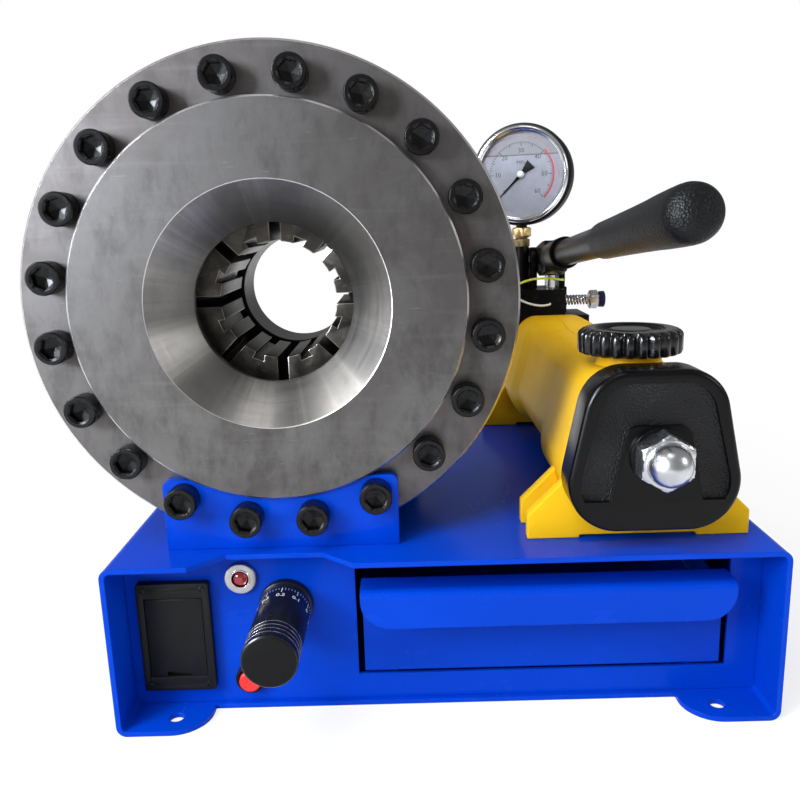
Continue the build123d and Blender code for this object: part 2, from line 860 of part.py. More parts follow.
with BuildPart() as head_bracket:
    with BuildSketch(front(cover_y)):
        with Locations((head_x, base_height)):
            Rectangle(head_bracket_width, head_bracket_height, align=(Align.CENTER, Align.MIN))
        with Locations((head_x, head_z)):
            Circle(boss_radius + slide_clearance, mode=Mode.SUBTRACT)
        with Locations(*on_bracket):
            Circle(screw_diameter / 2 + screw_clearance, mode=Mode.SUBTRACT)
    extrude(amount=head_bracket_plate)
    top_corners = head_bracket.edges().filter_by(Axis.Y).filter_by_position(
        Axis.Z, bracket_top - 0.1, bracket_top + 0.1
    )
    fillet(top_corners.sort_by(Axis.X)[0], head_bracket_corner)
    top_corners = head_bracket.edges().filter_by(Axis.Y).filter_by_position(
        Axis.Z, bracket_top - 0.1, bracket_top + 0.1
    )
    fillet(top_corners.sort_by(Axis.X)[-1], head_bracket_corner)
save(head_bracket, "head_bracket")

# saddle that carries the back of the barrel
with BuildPart() as rear_bracket:
    with BuildSketch(front(barrel_back)):
        with Locations((head_x, base_height)):
            Rectangle(rear_bracket_width, rear_bracket_height, align=(Align.CENTER, Align.MIN))
        with Locations((head_x, head_z)):
            Circle(barrel_outer_radius, mode=Mode.SUBTRACT)
    extrude(amount=rear_bracket_plate)
save(rear_bracket, "rear_bracket")


def apothem(y):
    """Distance of the dies' sloping backs from the head's axis at depth y."""
    return die_rear_apothem + (die_back - y) * wedge


with BuildPart() as crimp_piston:
    with BuildSketch(axial(head_x, head_z)):
        Polygon(
            (piston_front, tube_inner_radius), (piston_front, piston_radius),
            (web_back, piston_radius), (web_back, tube_outer_radius),
            (rear_back + tube_tail, tube_outer_radius), (rear_back + tube_tail, tube_inner_radius),
            align=None,
        )
    revolve(axis=axle(head_x, head_z))
    for place in (piston_front, web_front):
        with BuildSketch(front(place)):
            with Locations((head_x, head_z)):
                RegularPolygon(apothem(place) + shaft_clearance, die_count, major_radius=False)
    loft(mode=Mode.SUBTRACT)
save(crimp_piston, "crimp_piston")

half_pitch = math.pi / die_count
side_run = math.sqrt(die_inner_radius**2 - (die_gap / 2) ** 2)
inner_x = side_run * math.cos(half_pitch) + die_gap / 2 * math.sin(half_pitch)
inner_y = side_run * math.sin(half_pitch) - die_gap / 2 * math.cos(half_pitch)
outer_x = apothem(die_front)
outer_y = outer_x * math.tan(half_pitch) - die_gap / 2 / math.cos(half_pitch)
for k in range(die_count):
    turn = (2 * k + 1) * half_pitch
    radial = (math.cos(turn), 0, math.sin(turn))
    with BuildPart() as master_die:
        with BuildSketch(Plane(origin=(head_x, die_front, head_z), x_dir=radial, z_dir=(0, -1, 0))):
            Polygon(
                (inner_x, -inner_y), (outer_x, -outer_y), (outer_x, outer_y), (inner_x, inner_y),
                align=None,
            )
            Circle(die_inner_radius, mode=Mode.SUBTRACT)
            Polygon(
                (die_inner_radius - 2, -die_slot_width / 2), (die_inner_radius + 1, -die_slot_width / 2),
                (die_inner_radius + die_slot_depth, -die_slot_width / 2 - die_slot_flare / 2),
                (die_inner_radius + die_slot_depth, die_slot_width / 2 + die_slot_flare / 2),
                (die_inner_radius + 1, die_slot_width / 2), (die_inner_radius - 2, die_slot_width / 2),
                align=None, mode=Mode.SUBTRACT,
            )
        extrude(amount=-die_length)
        slope_at = (head_x + outer_x * radial[0], die_front, head_z + outer_x * radial[2])
        lean = math.radians(wedge_angle)
        slope_out = (radial[0] * math.cos(lean), math.sin(lean), radial[2] * math.cos(lean))
        split(bisect_by=Plane(origin=slope_at, z_dir=slope_out), keep=Keep.BOTTOM)
    save(master_die, f"master_die_{k + 1}")

# ================================================================ hand pump: tank and feet
def tank_outline(inset=0.0):
    """Trapezoid of the tank's section, before its corners are rounded."""
    return [
        (pump_x - tank_bottom_half + inset, tank_bottom + inset),
        (pump_x + tank_bottom_half - inset, tank_bottom + inset),
        (pump_x + tank_top_half - inset, tank_top - inset),
        (pump_x - tank_top_half + inset, tank_top - inset),
    ]


filler_y = front_y + filler_setback
rod_hole = tie_rod_diameter / 2 + screw_clearance
tank_stations = [
    (tank_y, 0.0),
    (tank_y + tank_front_section, 0.0),
    (tank_y + tank_front_section + tank_blend, tank_waist_inset),
    (tank_back - tank_rear_section - tank_blend, tank_waist_inset),
    (tank_back - tank_rear_section, 0.0),
    (tank_back, 0.0),
]
with BuildPart() as pump_tank:
    for start, end in zip(tank_stations, tank_stations[1:]):
        for station in (start, end):
            with BuildSketch(front(station[0])) as section:
                Polygon(*tank_outline(station[1]), align=None)
                fillet(section.vertices().group_by(Axis.Y)[0], tank_bottom_corner)
                fillet(section.vertices().group_by(Axis.Y)[-1], tank_top_corner)
        loft()
    with BuildSketch(Plane.XY.offset(tank_top - tank_waist_inset)):
        with Locations((pump_x, filler_y)):
            Circle(neck_radius)
    extrude(amount=neck_top - tank_top + tank_waist_inset)
    with BuildSketch(Plane.XY.offset(neck_top)):
        with Locations((pump_x, filler_y)):
            Circle(neck_bore_radius)
    extrude(amount=-filler_plug_length - 1, mode=Mode.SUBTRACT)
    with BuildSketch(front(tank_y)):
        with Locations((rod_x, rod_z)):
            Circle(rod_hole)
    extrude(amount=-tank_blend, mode=Mode.SUBTRACT)
save(pump_tank, "pump_tank")

shoulder_z = base_height + foot_end_height
gusset_top = shoulder_z + foot_half_width - tank_bottom_half * 0.8
foot_outline = [
    (pump_x - foot_half_width, base_height),
    (pump_x + foot_half_width, base_height),
    (pump_x + foot_half_width, shoulder_z),
    (pump_x + tank_bottom_half * 0.8, gusset_top),
    (pump_x - tank_bottom_half * 0.8, gusset_top),
    (pump_x - foot_half_width, shoulder_z),
]


def relief():
    """Half-size of the shallow relief under a foot plate."""
    return (2 * foot_relief_half, foot_relief_height)


with BuildPart() as front_foot:
    with BuildSketch(front(foot_y)) as plate:
        Polygon(*tank_outline(), align=None)
        fillet(plate.vertices().group_by(Axis.Y)[0], tank_bottom_corner)
        fillet(plate.vertices().group_by(Axis.Y)[-1], tank_top_corner)
        Polygon(*foot_outline, align=None)
        with Locations((pump_x, base_height)):
            Rectangle(*relief(), align=(Align.CENTER, Align.MIN), mode=Mode.SUBTRACT)
        with Locations((rod_x, rod_z)):
            Circle(rod_hole, mode=Mode.SUBTRACT)
    extrude(amount=-foot_plate)
save(front_foot, "front_foot")

with BuildPart() as saddle_feet:
    for place in (foot_y + foot_pair_pitch, tank_back - foot_plate):
        with BuildSketch(front(place)):
            Polygon(*foot_outline, align=None)
            with Locations((pump_x, base_height)):
                Rectangle(*relief(), align=(Align.CENTER, Align.MIN), mode=Mode.SUBTRACT)
        extrude(amount=-foot_plate)
        with BuildSketch(front(place)) as seat:
            Polygon(*tank_outline(), align=None)
            fillet(seat.vertices().group_by(Axis.Y)[0], tank_bottom_corner)
            fillet(seat.vertices().group_by(Axis.Y)[-1], tank_top_corner)
        extrude(amount=-foot_plate, mode=Mode.SUBTRACT)
save(saddle_feet, "saddle_feet")

def cap_outline(inset):
    """Rounded trapezoid of the end cap, moved inwards by inset."""
    centre = pump_x + cap_shift
    low = tank_bottom - cap_bottom_grow + inset
    high = tank_top + cap_top_grow - inset
    with BuildSketch(Plane.XY) as outline:
        Polygon(
            (centre - tank_bottom_half - cap_side_grow + inset, low),
            (centre + tank_bottom_half + cap_side_grow - inset, low),
            (centre + tank_top_half + cap_shoulder_grow - inset, high),
            (centre - tank_top_half - cap_shoulder_grow + inset, high),
            align=None,
        )
        fillet(outline.vertices().group_by(Axis.Y)[0], cap_bottom_corner - inset)
        fillet(outline.vertices().group_by(Axis.Y)[-1], cap_top_corner - inset)
    return outline.sketch


# black end cap: a raised rim, a sunk band over the top and sides, and an arched boss for the nut
band_bottom = rod_z - cap_band_bottom
boss_top = rod_z + cap_boss_top
far = 2 * tank_bottom_half
with BuildPart() as end_cap:
    with BuildSketch(front(foot_y)):
        add(cap_outline(0))
    extrude(amount=cap_depth)
    fillet(end_cap.faces().sort_by(Axis.Y)[0].outer_wire().edges(), cap_edge)
    with BuildSketch(front(cap_y)):
        add(cap_outline(cap_rim))
        with BuildSketch(mode=Mode.SUBTRACT) as arch:
            Polygon(
                (rod_x - far, 0), (rod_x + far, 0), (rod_x + far, band_bottom),
                (rod_x + cap_boss_side_half, band_bottom), (rod_x + cap_boss_top_half, boss_top),
                (rod_x - cap_boss_top_half, boss_top), (rod_x - cap_boss_side_half, band_bottom),
                (rod_x - far, band_bottom),
                align=None,
            )
            fillet(arch.vertices().group_by(Axis.Y)[-1], cap_boss_corner)
    extrude(amount=-cap_recess, mode=Mode.SUBTRACT)
    with BuildSketch(front(cap_y)):
        with Locations((rod_x, rod_z)):
            Circle(washer_radius)
    extrude(amount=cap_boss_proud)
    with BuildSketch(front(cap_y - cap_boss_proud)):
        with Locations((rod_x, rod_z)):
            Circle(rod_hole)
    extrude(amount=-cap_depth - cap_boss_proud, mode=Mode.SUBTRACT)
save(end_cap, "end_cap")

nut_seat = cap_y - cap_boss_proud - washer_thickness
with BuildPart() as tie_rod:
    with BuildSketch(front(nut_seat - nut_height + 2)):
        with Locations((rod_x, rod_z)):
            Circle(tie_rod_diameter / 2)
    extrude(amount=-(nut_height - 2 + washer_thickness + cap_boss_proud + cap_depth + foot_plate + tank_blend))
save(tie_rod, "tie_rod")

# acorn nut, with its washer
with BuildPart() as acorn_nut:
    with BuildSketch(front(nut_seat)):
        with Locations((rod_x, rod_z)):
            RegularPolygon(nut_flats / 2, 6, major_radius=False)
    extrude(amount=nut_height)
    with BuildSketch(axial(rod_x, rod_z)):
        nut_face = nut_seat - nut_height
        dome_start = nut_face - dome_height + dome_radius
        with BuildLine():
            Polyline((nut_face, 0), (nut_face, dome_radius), (dome_start, dome_radius))
            ThreePointArc(
                (dome_start, dome_radius),
                (dome_start - dome_radius * math.sqrt(0.5), dome_radius * math.sqrt(0.5)),
                (dome_start - dome_radius, 0),
            )
            Line((dome_start - dome_radius, 0), (nut_face, 0))
        make_face()
    revolve(axis=axle(rod_x, rod_z))
    with BuildSketch(front(nut_seat)):
        with Locations((rod_x, rod_z)):
            Circle(rod_hole)
    extrude(amount=nut_height - 1, mode=Mode.SUBTRACT)
    with BuildSketch(front(nut_seat)):
        with Locations((rod_x, rod_z)):
            Circle(washer_radius)
            Circle(rod_hole, mode=Mode.SUBTRACT)
    extrude(amount=-washer_thickness)
save(acorn_nut, "acorn_nut")

with BuildPart() as filler_cap:
    with BuildSketch(Plane.XY.offset(neck_top + slide_clearance)):
        with Locations((pump_x, filler_y)):
            Circle(filler_cap_radius)
            with PolarLocations(filler_cap_radius + filler_flute_radius * 0.55, filler_cap_flutes):
                Circle(filler_flute_radius, mode=Mode.SUBTRACT)
    extrude(amount=filler_cap_height)
    chamfer(filler_cap.faces().sort_by(Axis.Z)[-1].outer_wire().edges(), 1.0)
    with BuildSketch(Plane.XY.offset(neck_top + slide_clearance)):
        with Locations((pump_x, filler_y)):
            Circle(neck_bore_radius - shaft_clearance)
    extrude(amount=-filler_plug_length)
save(filler_cap, "filler_cap")

# ================================================================ hand pump: block, plunger, lever
turn = math.radians(gauge_turn)
stem_x = gauge_x + gauge_stem_depth * math.sin(turn)
stem_y = gauge_y + gauge_stem_depth * math.cos(turn)
ear_inner = cheek_gap / 2 + cheek_thickness + screw_clearance * 2
plunger_foot = link_z - plunger_eye_height / 2 - plunger_bore_depth
with BuildPart() as pump_block:
    with BuildSketch(front(tank_back)):
        with Locations((block_left, base_height)):
            Rectangle(
                block_right - block_left, block_shoulder - base_height, align=(Align.MIN, Align.MIN)
            )
            Rectangle(
                block_neck_right - block_left, block_top - base_height, align=(Align.MIN, Align.MIN)
            )
    extrude(amount=-block_depth)
    with BuildSketch(front(pivot_y - ear_pad_front)):
        with Locations((block_neck_right, block_shoulder)):
            Rectangle(
                pump_x + ear_pad_reach - block_neck_right, block_top - block_shoulder,
                align=(Align.MIN, Align.MIN),
            )
    extrude(amount=-(block_back - pivot_y + ear_pad_front))
    with BuildSketch(Plane.XY.offset(block_shoulder)):
        with Locations((stem_x, stem_y)):
            Circle(gauge_boss_radius)
    extrude(amount=gauge_boss_top - block_shoulder)
    for side in (-1, 1):
        ear_plane = Plane.YZ.offset(pump_x + side * (ear_inner + ear_thickness / 2))
        with BuildSketch(ear_plane):
            with Locations((pivot_y, pivot_z)):
                Circle(ear_radius)
            with Locations((pivot_y, block_top)):
                Rectangle(2 * ear_radius, pivot_z - block_top, align=(Align.CENTER, Align.MIN))
            with Locations((pivot_y, pivot_z)):
                Circle(pivot_diameter / 2, mode=Mode.SUBTRACT)
        extrude(amount=ear_thickness / 2, both=True)
    with BuildSketch(Plane.XY.offset(block_top)):
        with Locations((pump_x, plunger_y)):
            Circle(plunger_diameter / 2 + shaft_clearance)
    extrude(amount=-(block_top - plunger_foot + arm_length), mode=Mode.SUBTRACT)
    with BuildSketch(Plane.YZ.offset(block_neck_right)):
        with Locations((release_y, release_z)):
            Circle(rod_radius + shaft_clearance)
    extrude(amount=-rod_seat - rod_travel - 1, mode=Mode.SUBTRACT)
save(pump_block, "pump_block")

with BuildPart() as pivot_pin:
    with BuildSketch(Plane.YZ.offset(pump_x)):
        with Locations((pivot_y, pivot_z)):
            Circle(pivot_diameter / 2)
    extrude(amount=ear_inner + ear_thickness, both=True)
    with BuildSketch(Plane.YZ.offset(pump_x + ear_inner + ear_thickness)):
        with Locations((pivot_y, pivot_z)):
            Circle(pivot_diameter / 2 + 3)
    extrude(amount=4)
save(pivot_pin, "pivot_pin")

eye_bottom = link_z - plunger_eye_height / 2
with BuildPart() as pump_plunger:
    with BuildSketch(Plane.XY.offset(eye_bottom)):
        with Locations((pump_x, plunger_y)):
            Circle(plunger_diameter / 2)
    extrude(amount=-plunger_bore_depth)
    with BuildSketch(Plane.YZ.offset(pump_x)):
        with Locations((plunger_y, link_z)):
            RectangleRounded(plunger_eye_depth, plunger_eye_height, 4)
            SlotOverall(
                link_pin_diameter + 2 * plunger_slot_play + 2 * plunger_slot_run,
                link_pin_diameter + 2 * plunger_slot_play, mode=Mode.SUBTRACT,
            )
    extrude(amount=plunger_eye_width / 2, both=True)
save(pump_plunger, "pump_plunger")

rise = math.radians(lever_rise_angle)
along = (0, -math.cos(rise), math.sin(rise))
lever_plane = Plane(origin=(pump_x, pivot_y, pivot_z), x_dir=along, z_dir=(-1, 0, 0))
drop = math.radians(arm_drop_angle + lever_rise_angle)
link_at = (arm_length * math.cos(drop), -arm_length * math.sin(drop))
with BuildPart() as lever_yoke:
    with BuildSketch(lever_plane) as cheek:
        with Locations((0, 0)):
            Circle(cheek_pivot_radius)
        with Locations(link_at):
            Circle(cheek_link_radius)
        with Locations((yoke_web_start, 0)):
            Rectangle(yoke_web_end - yoke_web_start, 2 * socket_radius, align=(Align.MIN, Align.CENTER))
        make_hull(cheek.edges())
    extrude(amount=cheek_gap / 2 + cheek_thickness, both=True)
    with BuildSketch(lever_plane):
        with Locations((-cheek_pivot_radius, 0)):
            Rectangle(
                yoke_web_start + cheek_pivot_radius, 4 * socket_radius, align=(Align.MIN, Align.CENTER)
            )
    extrude(amount=cheek_gap / 2, both=True, mode=Mode.SUBTRACT)
    socket_at = Vector(pump_x, pivot_y, pivot_z) + Vector(*along) * (yoke_web_end - 4)
    socket_plane = Plane(origin=socket_at, x_dir=(1, 0, 0), z_dir=along)
    with BuildSketch(socket_plane):
        Circle(socket_radius)
    extrude(amount=socket_length)
    with BuildSketch(socket_plane.offset(4)):
        Circle(lever_tube_radius)
    extrude(amount=socket_length, mode=Mode.SUBTRACT)
    with BuildSketch(lever_plane):
        with Locations((0, 0)):
            Circle(pivot_diameter / 2 + shaft_clearance)
        with Locations(link_at):
            Circle(link_pin_diameter / 2)
    extrude(amount=cheek_gap, both=True, mode=Mode.SUBTRACT)
save(lever_yoke, "lever_yoke")

with BuildPart() as link_pin:
    with BuildSketch(lever_plane):
        with Locations(link_at):
            Circle(link_pin_diameter / 2)
    extrude(amount=cheek_gap / 2 + cheek_thickness, both=True)
save(link_pin, "link_pin")

tube_plane = socket_plane.offset(4)
grip_plane = tube_plane.offset(lever_tube_length)
with BuildPart() as lever_tube:
    with BuildSketch(tube_plane):
        Circle(lever_tube_radius)
    extrude(amount=lever_tube_length)
save(lever_tube, "lever_tube")

grip_section = Plane(
    origin=grip_plane.origin, x_dir=along, z_dir=(1, 0, 0)
)
with BuildPart() as lever_grip:
    with BuildSketch(grip_section):
        grip_tip = grip_length - grip_overlap
        ball_centre = grip_tip - grip_end_radius
        with BuildLine():
            Polyline((0.3, 0), (0.3, lever_tube_radius), (-grip_overlap, lever_tube_radius))
            Line((-grip_overlap, lever_tube_radius), (-grip_overlap, grip_start_radius - 1))
            Line((-grip_overlap, grip_start_radius - 1), (-grip_overlap + 2, grip_start_radius))
            Line((-grip_overlap + 2, grip_start_radius), (ball_centre - 40, grip_end_radius))
            Line((ball_centre - 40, grip_end_radius), (ball_centre, grip_end_radius))
            ThreePointArc(
                (ball_centre, grip_end_radius),
                (ball_centre + grip_end_radius * math.sqrt(0.5), grip_end_radius * math.sqrt(0.5)),
                (grip_tip, 0),
            )
            Line((grip_tip, 0), (0.3, 0))
        make_face()
    revolve(axis=Axis(grip_plane.origin, along))
save(lever_grip, "lever_grip")

# ================================================================ release valve
with BuildPart() as release_rod:
    with BuildSketch(Plane.YZ.offset(block_neck_right - rod_seat)):
        with Locations((release_y, release_z)):
            Circle(rod_radius)
    extrude(amount=rod_seat + rod_length)
save(release_rod, "release_rod")

knob_start = block_neck_right + rod_length - release_knob_length
with BuildPart() as release_knob:
    with BuildSketch(Plane.YZ.offset(knob_start)):
        with Locations((release_y, release_z)):
            RegularPolygon(release_knob_radius, 6)
            Circle(rod_radius, mode=Mode.SUBTRACT)
    extrude(amount=release_knob_length)
save(release_knob, "release_knob")

spring_start = block_neck_right + slide_clearance
spring_end = knob_start - slide_clearance
spring_pitch = (spring_end - spring_start) / spring_turns
with BuildPart() as release_spring:
    with BuildSketch(Plane(origin=(0, release_y, release_z), x_dir=(1, 0, 0), z_dir=(0, -1, 0))):
        inner = spring_radius - spring_wire
        outline_top = []
        for turn_count in range(spring_turns):
            turn_start = spring_start + turn_count * spring_pitch
            outline_top += [(turn_start, inner + 0.4), (turn_start + spring_pitch / 2, spring_radius)]
        Polygon(
            (spring_start, inner), *outline_top, (spring_end, inner + 0.4), (spring_end, inner),
            align=None,
        )
    revolve(axis=Axis((0, release_y, release_z), (1, 0, 0)))
save(release_spring, "release_spring")

# ================================================================ gauge
facing = (-math.sin(turn), -math.cos(turn), 0)
across = (math.cos(turn), -math.sin(turn), 0)


def gauge_plane(depth):
    """Plane of the gauge's face, moved back by depth."""
    centre = Vector(gauge_x, gauge_y, gauge_z) - Vector(*facing) * depth
    return Plane(origin=centre, x_dir=across, z_dir=facing)


gauge_axis = Axis((gauge_x, gauge_y, gauge_z), facing)
gauge_section = Plane(origin=(gauge_x, gauge_y, gauge_z), x_dir=[-c for c in facing], z_dir=across)
bezel_bore = bezel_radius - bezel_width
with BuildPart() as gauge_bezel:
    with BuildSketch(gauge_section) as ring:
        Polygon(
            (0, bezel_radius - 4), (0, bezel_bore + 1), (3, bezel_bore), (3, dial_radius + 0.1),
            (bezel_depth, dial_radius + 0.1), (bezel_depth, bezel_radius), (3, bezel_radius),
            align=None,
        )
    revolve(axis=gauge_axis)
save(gauge_bezel, "gauge_bezel")

with BuildPart() as gauge_glass:
    with BuildSketch(gauge_plane(3)):
        Circle(dial_radius)
    extrude(amount=-glass_thickness)
save(gauge_glass, "gauge_glass")

with BuildPart() as gauge_case:
    with BuildSketch(gauge_plane(bezel_depth)):
        Circle(case_radius)
    extrude(amount=-case_depth)
    with BuildSketch(Plane.XY.offset(gauge_z - boot_radius - 2)):
        with Locations((stem_x, stem_y)):
            Circle(gauge_stem_radius)
    extrude(amount=boot_radius + 2 - case_radius + 4)
save(gauge_case, "gauge_case")

with BuildPart() as gauge_dial:
    with BuildSketch(gauge_plane(bezel_depth - 1)):
        Circle(dial_radius)
    extrude(amount=-1)
save(gauge_dial, "gauge_dial")

needle_back = bezel_depth - 1 - slide_clearance
with BuildPart() as gauge_needle:
    with BuildSketch(gauge_plane(needle_back)):
        Circle(4)
    extrude(amount=2)
    with BuildSketch(gauge_plane(needle_back - 1)):
        lean = math.radians(225)
        ray = (math.cos(lean), math.sin(lean))
        Polygon(
            (ray[0] * needle_length, ray[1] * needle_length),
            (-ray[1] * 2.2, ray[0] * 2.2),
            (-ray[0] * needle_tail - ray[1] * 5, -ray[1] * needle_tail + ray[0] * 5),
            (-ray[0] * needle_tail + ray[1] * 5, -ray[1] * needle_tail - ray[0] * 5),
            (ray[1] * 2.2, -ray[0] * 2.2),
            align=None,
        )
    extrude(amount=1)
save(gauge_needle, "gauge_needle")

boot_front = bezel_depth + 0.3
with BuildPart() as gauge_boot:
    with BuildSketch(gauge_section):
        Polygon(
            (boot_front, case_radius + 0.1), (boot_front, boot_radius - 1), (boot_front + 1, boot_radius),
            (boot_front + boot_cover, boot_radius), (bezel_depth + case_depth + 3, boot_radius - 5),
            (bezel_depth + case_depth + 3, 0), (bezel_depth + case_depth + 0.1, 0),
            (bezel_depth + case_depth + 0.1, case_radius + 0.1),
            align=None,
        )
    revolve(axis=gauge_axis)
    with BuildSketch(Plane.XY.offset(gauge_z - boot_radius - 1)):
        with Locations((stem_x, stem_y)):
            Circle(gauge_stem_radius + 2)
    extrude(amount=boot_radius - case_radius + 4, mode=Mode.SUBTRACT)
save(gauge_boot, "gauge_boot")

with BuildPart() as gauge_fitting:
    with BuildSketch(Plane.XY.offset(gauge_boss_top)):
        with Locations((stem_x, stem_y)):
            RegularPolygon(gauge_fitting_flats / 2, 6, major_radius=False, rotation=30)
    extrude(amount=gauge_z - boot_radius - 2 - gauge_boss_top)
save(gauge_fitting, "gauge_fitting")

# ================================================================ oil pipe
pipe_points = [
    (port_x, rear_back, port_z),
    (port_x, pipe_y, port_z),
    (pipe_elbow_x, pipe_y, pipe_block_z),
    (block_left, pipe_y, pipe_block_z),
]
with BuildPart() as oil_pipe:
    with BuildLine() as route:
        FilletPolyline(*pipe_points, radius=pipe_bend)
    with BuildSketch(front(rear_back)):
        with Locations((port_x, port_z)):
            Circle(pipe_radius)
    sweep(path=route.wire())
save(oil_pipe, "oil_pipe")

with BuildPart() as pipe_nuts:
    with BuildSketch(front(rear_back)):
        with Locations((port_x, port_z)):
            RegularPolygon(pipe_nut_flats / 2, 6, major_radius=False)
            Circle(pipe_radius, mode=Mode.SUBTRACT)
    extrude(amount=-pipe_nut_length)
    with BuildSketch(Plane.YZ.offset(block_left)):
        with Locations((pipe_y, pipe_block_z)):
            RegularPolygon(pipe_nut_flats / 2, 6, major_radius=False)
            Circle(pipe_radius, mode=Mode.SUBTRACT)
    extrude(amount=-pipe_nut_length)
save(pipe_nuts, "pipe_nuts")

# ================================================================ switch leads
def lead_route(corners):
    """Straight runs joined by tangent arcs, each as large as its two runs allow."""
    corners = [Vector(*corner) for corner in corners]
    begin = corners[0]
    with BuildLine() as route:
        for before, corner, after in zip(corners, corners[1:], corners[2:]):
            back, ahead = before - corner, after - corner
            reach = lead_bend_share * min(back.length, ahead.length)
            enter = corner + back.normalized() * reach
            leave = corner + ahead.normalized() * reach
            Line(begin, enter)
            TangentArc(enter, leave, tangent=-back)
            turned = math.radians(180 - back.get_angle(ahead))
            print("lead bend radius", round(reach / math.tan(turned / 2), 1))
            begin = leave
        Line(begin, corners[-1])
    return route.wire()


ear_x = pump_x + ear_inner + ear_thickness / 2
ear_front = pivot_y - ear_radius
ear_z = pivot_z - lead_ear_drop
face_z = block_top - lead_face_drop
lead_front = tank_back - lead_front_gap
lead_x = block_left - lead_side_gap
lead_y = tank_back + lead_rear_gap
drop_z = (face_z - base_height) / 3
earth_corners = [
    (ear_x, ear_front, ear_z),
    (ear_x, ear_front - 13, ear_z),
    (ear_x - 9, ear_front - 28, ear_z + 2),
    (pump_x - 8, lead_front + 1.5, ear_z + 5),
    (pump_x - 30, lead_front, ear_z + 4),
    (lead_x + 3, lead_front + 4.5, ear_z - 6),
    (lead_x - 1, lead_y, face_z - 3),
    (lead_x, lead_y + 1, face_z - drop_z + 8),
    (lead_x, lead_y, base_height + drop_z),
    (lead_x, lead_y, base_height),
]
signal_x = lead_x - lead_pair_gap
signal_corners = [
    (pump_x - 4, tank_back, face_z),
    (pump_x - 4, lead_front - 1, face_z),
    (pump_x - 16, lead_front - 3, face_z - 1.5),
    (pump_x - 32, lead_front - 1.5, face_z + 2),
    (lead_x + 4, lead_front + 1.5, face_z + 12),
    (signal_x, lead_y - 4, face_z + 2),
    (signal_x - 0.5, lead_y + 0.5, face_z - 16),
    (signal_x + 0.5, lead_y - 0.5, face_z - drop_z),
    (signal_x, lead_y, base_height + drop_z),
    (signal_x, lead_y, base_height),
]
for label, corners in (("earth_lead", earth_corners), ("signal_lead", signal_corners)):
    path = lead_route(corners)
    with BuildPart() as lead:
        with BuildSketch(Plane(origin=path @ 0, z_dir=path % 0)):
            Circle(lead_radius)
        sweep(path=path)
    print(label, "volume", round(lead.part.volume, 1), "from length", round(math.pi * lead_radius**2 * path.length, 1))
    save(lead, label)
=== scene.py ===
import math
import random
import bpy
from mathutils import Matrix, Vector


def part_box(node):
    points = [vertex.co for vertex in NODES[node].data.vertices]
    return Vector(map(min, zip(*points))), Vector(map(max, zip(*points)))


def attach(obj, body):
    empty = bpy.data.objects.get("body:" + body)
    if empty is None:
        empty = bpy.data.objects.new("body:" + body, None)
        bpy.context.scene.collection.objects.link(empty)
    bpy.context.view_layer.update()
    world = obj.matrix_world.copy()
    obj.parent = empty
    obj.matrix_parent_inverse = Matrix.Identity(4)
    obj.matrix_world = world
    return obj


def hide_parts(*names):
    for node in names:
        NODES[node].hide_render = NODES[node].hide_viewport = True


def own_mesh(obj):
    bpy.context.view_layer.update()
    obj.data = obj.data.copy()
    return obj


bl_info = {
    "name": "Hose crimping machine",
    "version": (1, 0, 0),
    "blender": (4, 5, 0),
    "location": "3D View > Sidebar > Crimper",
    "description": "Dresses a hand-pumped hose crimping machine: die head, base, oil tank and gauge",
    "category": "Object",
}

import bmesh
import bpy
from mathutils import Matrix, Vector

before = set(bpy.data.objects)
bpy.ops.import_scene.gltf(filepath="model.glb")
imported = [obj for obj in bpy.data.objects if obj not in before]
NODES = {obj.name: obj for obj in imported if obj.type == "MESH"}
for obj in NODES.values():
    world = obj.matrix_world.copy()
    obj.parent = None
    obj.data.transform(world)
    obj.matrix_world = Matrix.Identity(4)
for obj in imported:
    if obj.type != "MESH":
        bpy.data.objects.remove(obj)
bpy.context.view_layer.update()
TURN = 2 * math.pi


def middle(node):
    """Centre of a CAD node's box."""
    low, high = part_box(node)
    return (low + high) / 2


HEAD = middle("front_cover")
BASE_LOW, BASE_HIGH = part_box("base_shell")
PANEL_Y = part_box("front_panel")[0].y


# ------------------------------------------------------------------ node graphs
class Value:
    """A socket of a node graph. Arithmetic on it adds Math nodes."""

    def __init__(self, graph, socket):
        self.graph = graph
        self.socket = socket

    def math(self, operation, *others):
        return self.graph.add("ShaderNodeMath", {"operation": operation}, [self, *others])

    def __add__(self, other):
        return self.math("ADD", other)

    def __sub__(self, other):
        return self.math("SUBTRACT", other)

    def __mul__(self, other):
        return self.math("MULTIPLY", other)

    def __truediv__(self, other):
        return self.math("DIVIDE", other)

    def __rsub__(self, other):
        return self.graph.add("ShaderNodeMath", {"operation": "SUBTRACT"}, [other, self])

    __radd__ = __add__
    __rmul__ = __mul__

    def step(self, low, high):
        """0 below low, 1 above high, smooth between."""
        return self.graph.add(
            "ShaderNodeMapRange", {"interpolation_type": "SMOOTHSTEP"}, {0: self, 1: low, 2: high}
        )


class Graph:
    """Builds the nodes of one shader or geometry tree."""

    def __init__(self, tree):
        self.tree = tree

    def add(self, kind, settings=None, sockets=None, out=0):
        """Adds one node: settings first, then the values or links of its sockets."""
        node = self.tree.nodes.new(kind)
        for key, value in (settings or {}).items():
            setattr(node, key, value)
        pairs = enumerate(sockets) if isinstance(sockets, (list, tuple)) else (sockets or {}).items()
        for key, value in pairs:
            if value is None:
                continue
            if isinstance(value, Value):
                self.tree.links.new(value.socket, node.inputs[key])
            else:
                node.inputs[key].default_value = value
        return Value(self, node.outputs[out] if len(node.outputs) else None)

    def output_of(self, value, name):
        """Another output of the node that a value comes from."""
        return Value(self, value.socket.node.outputs[name])


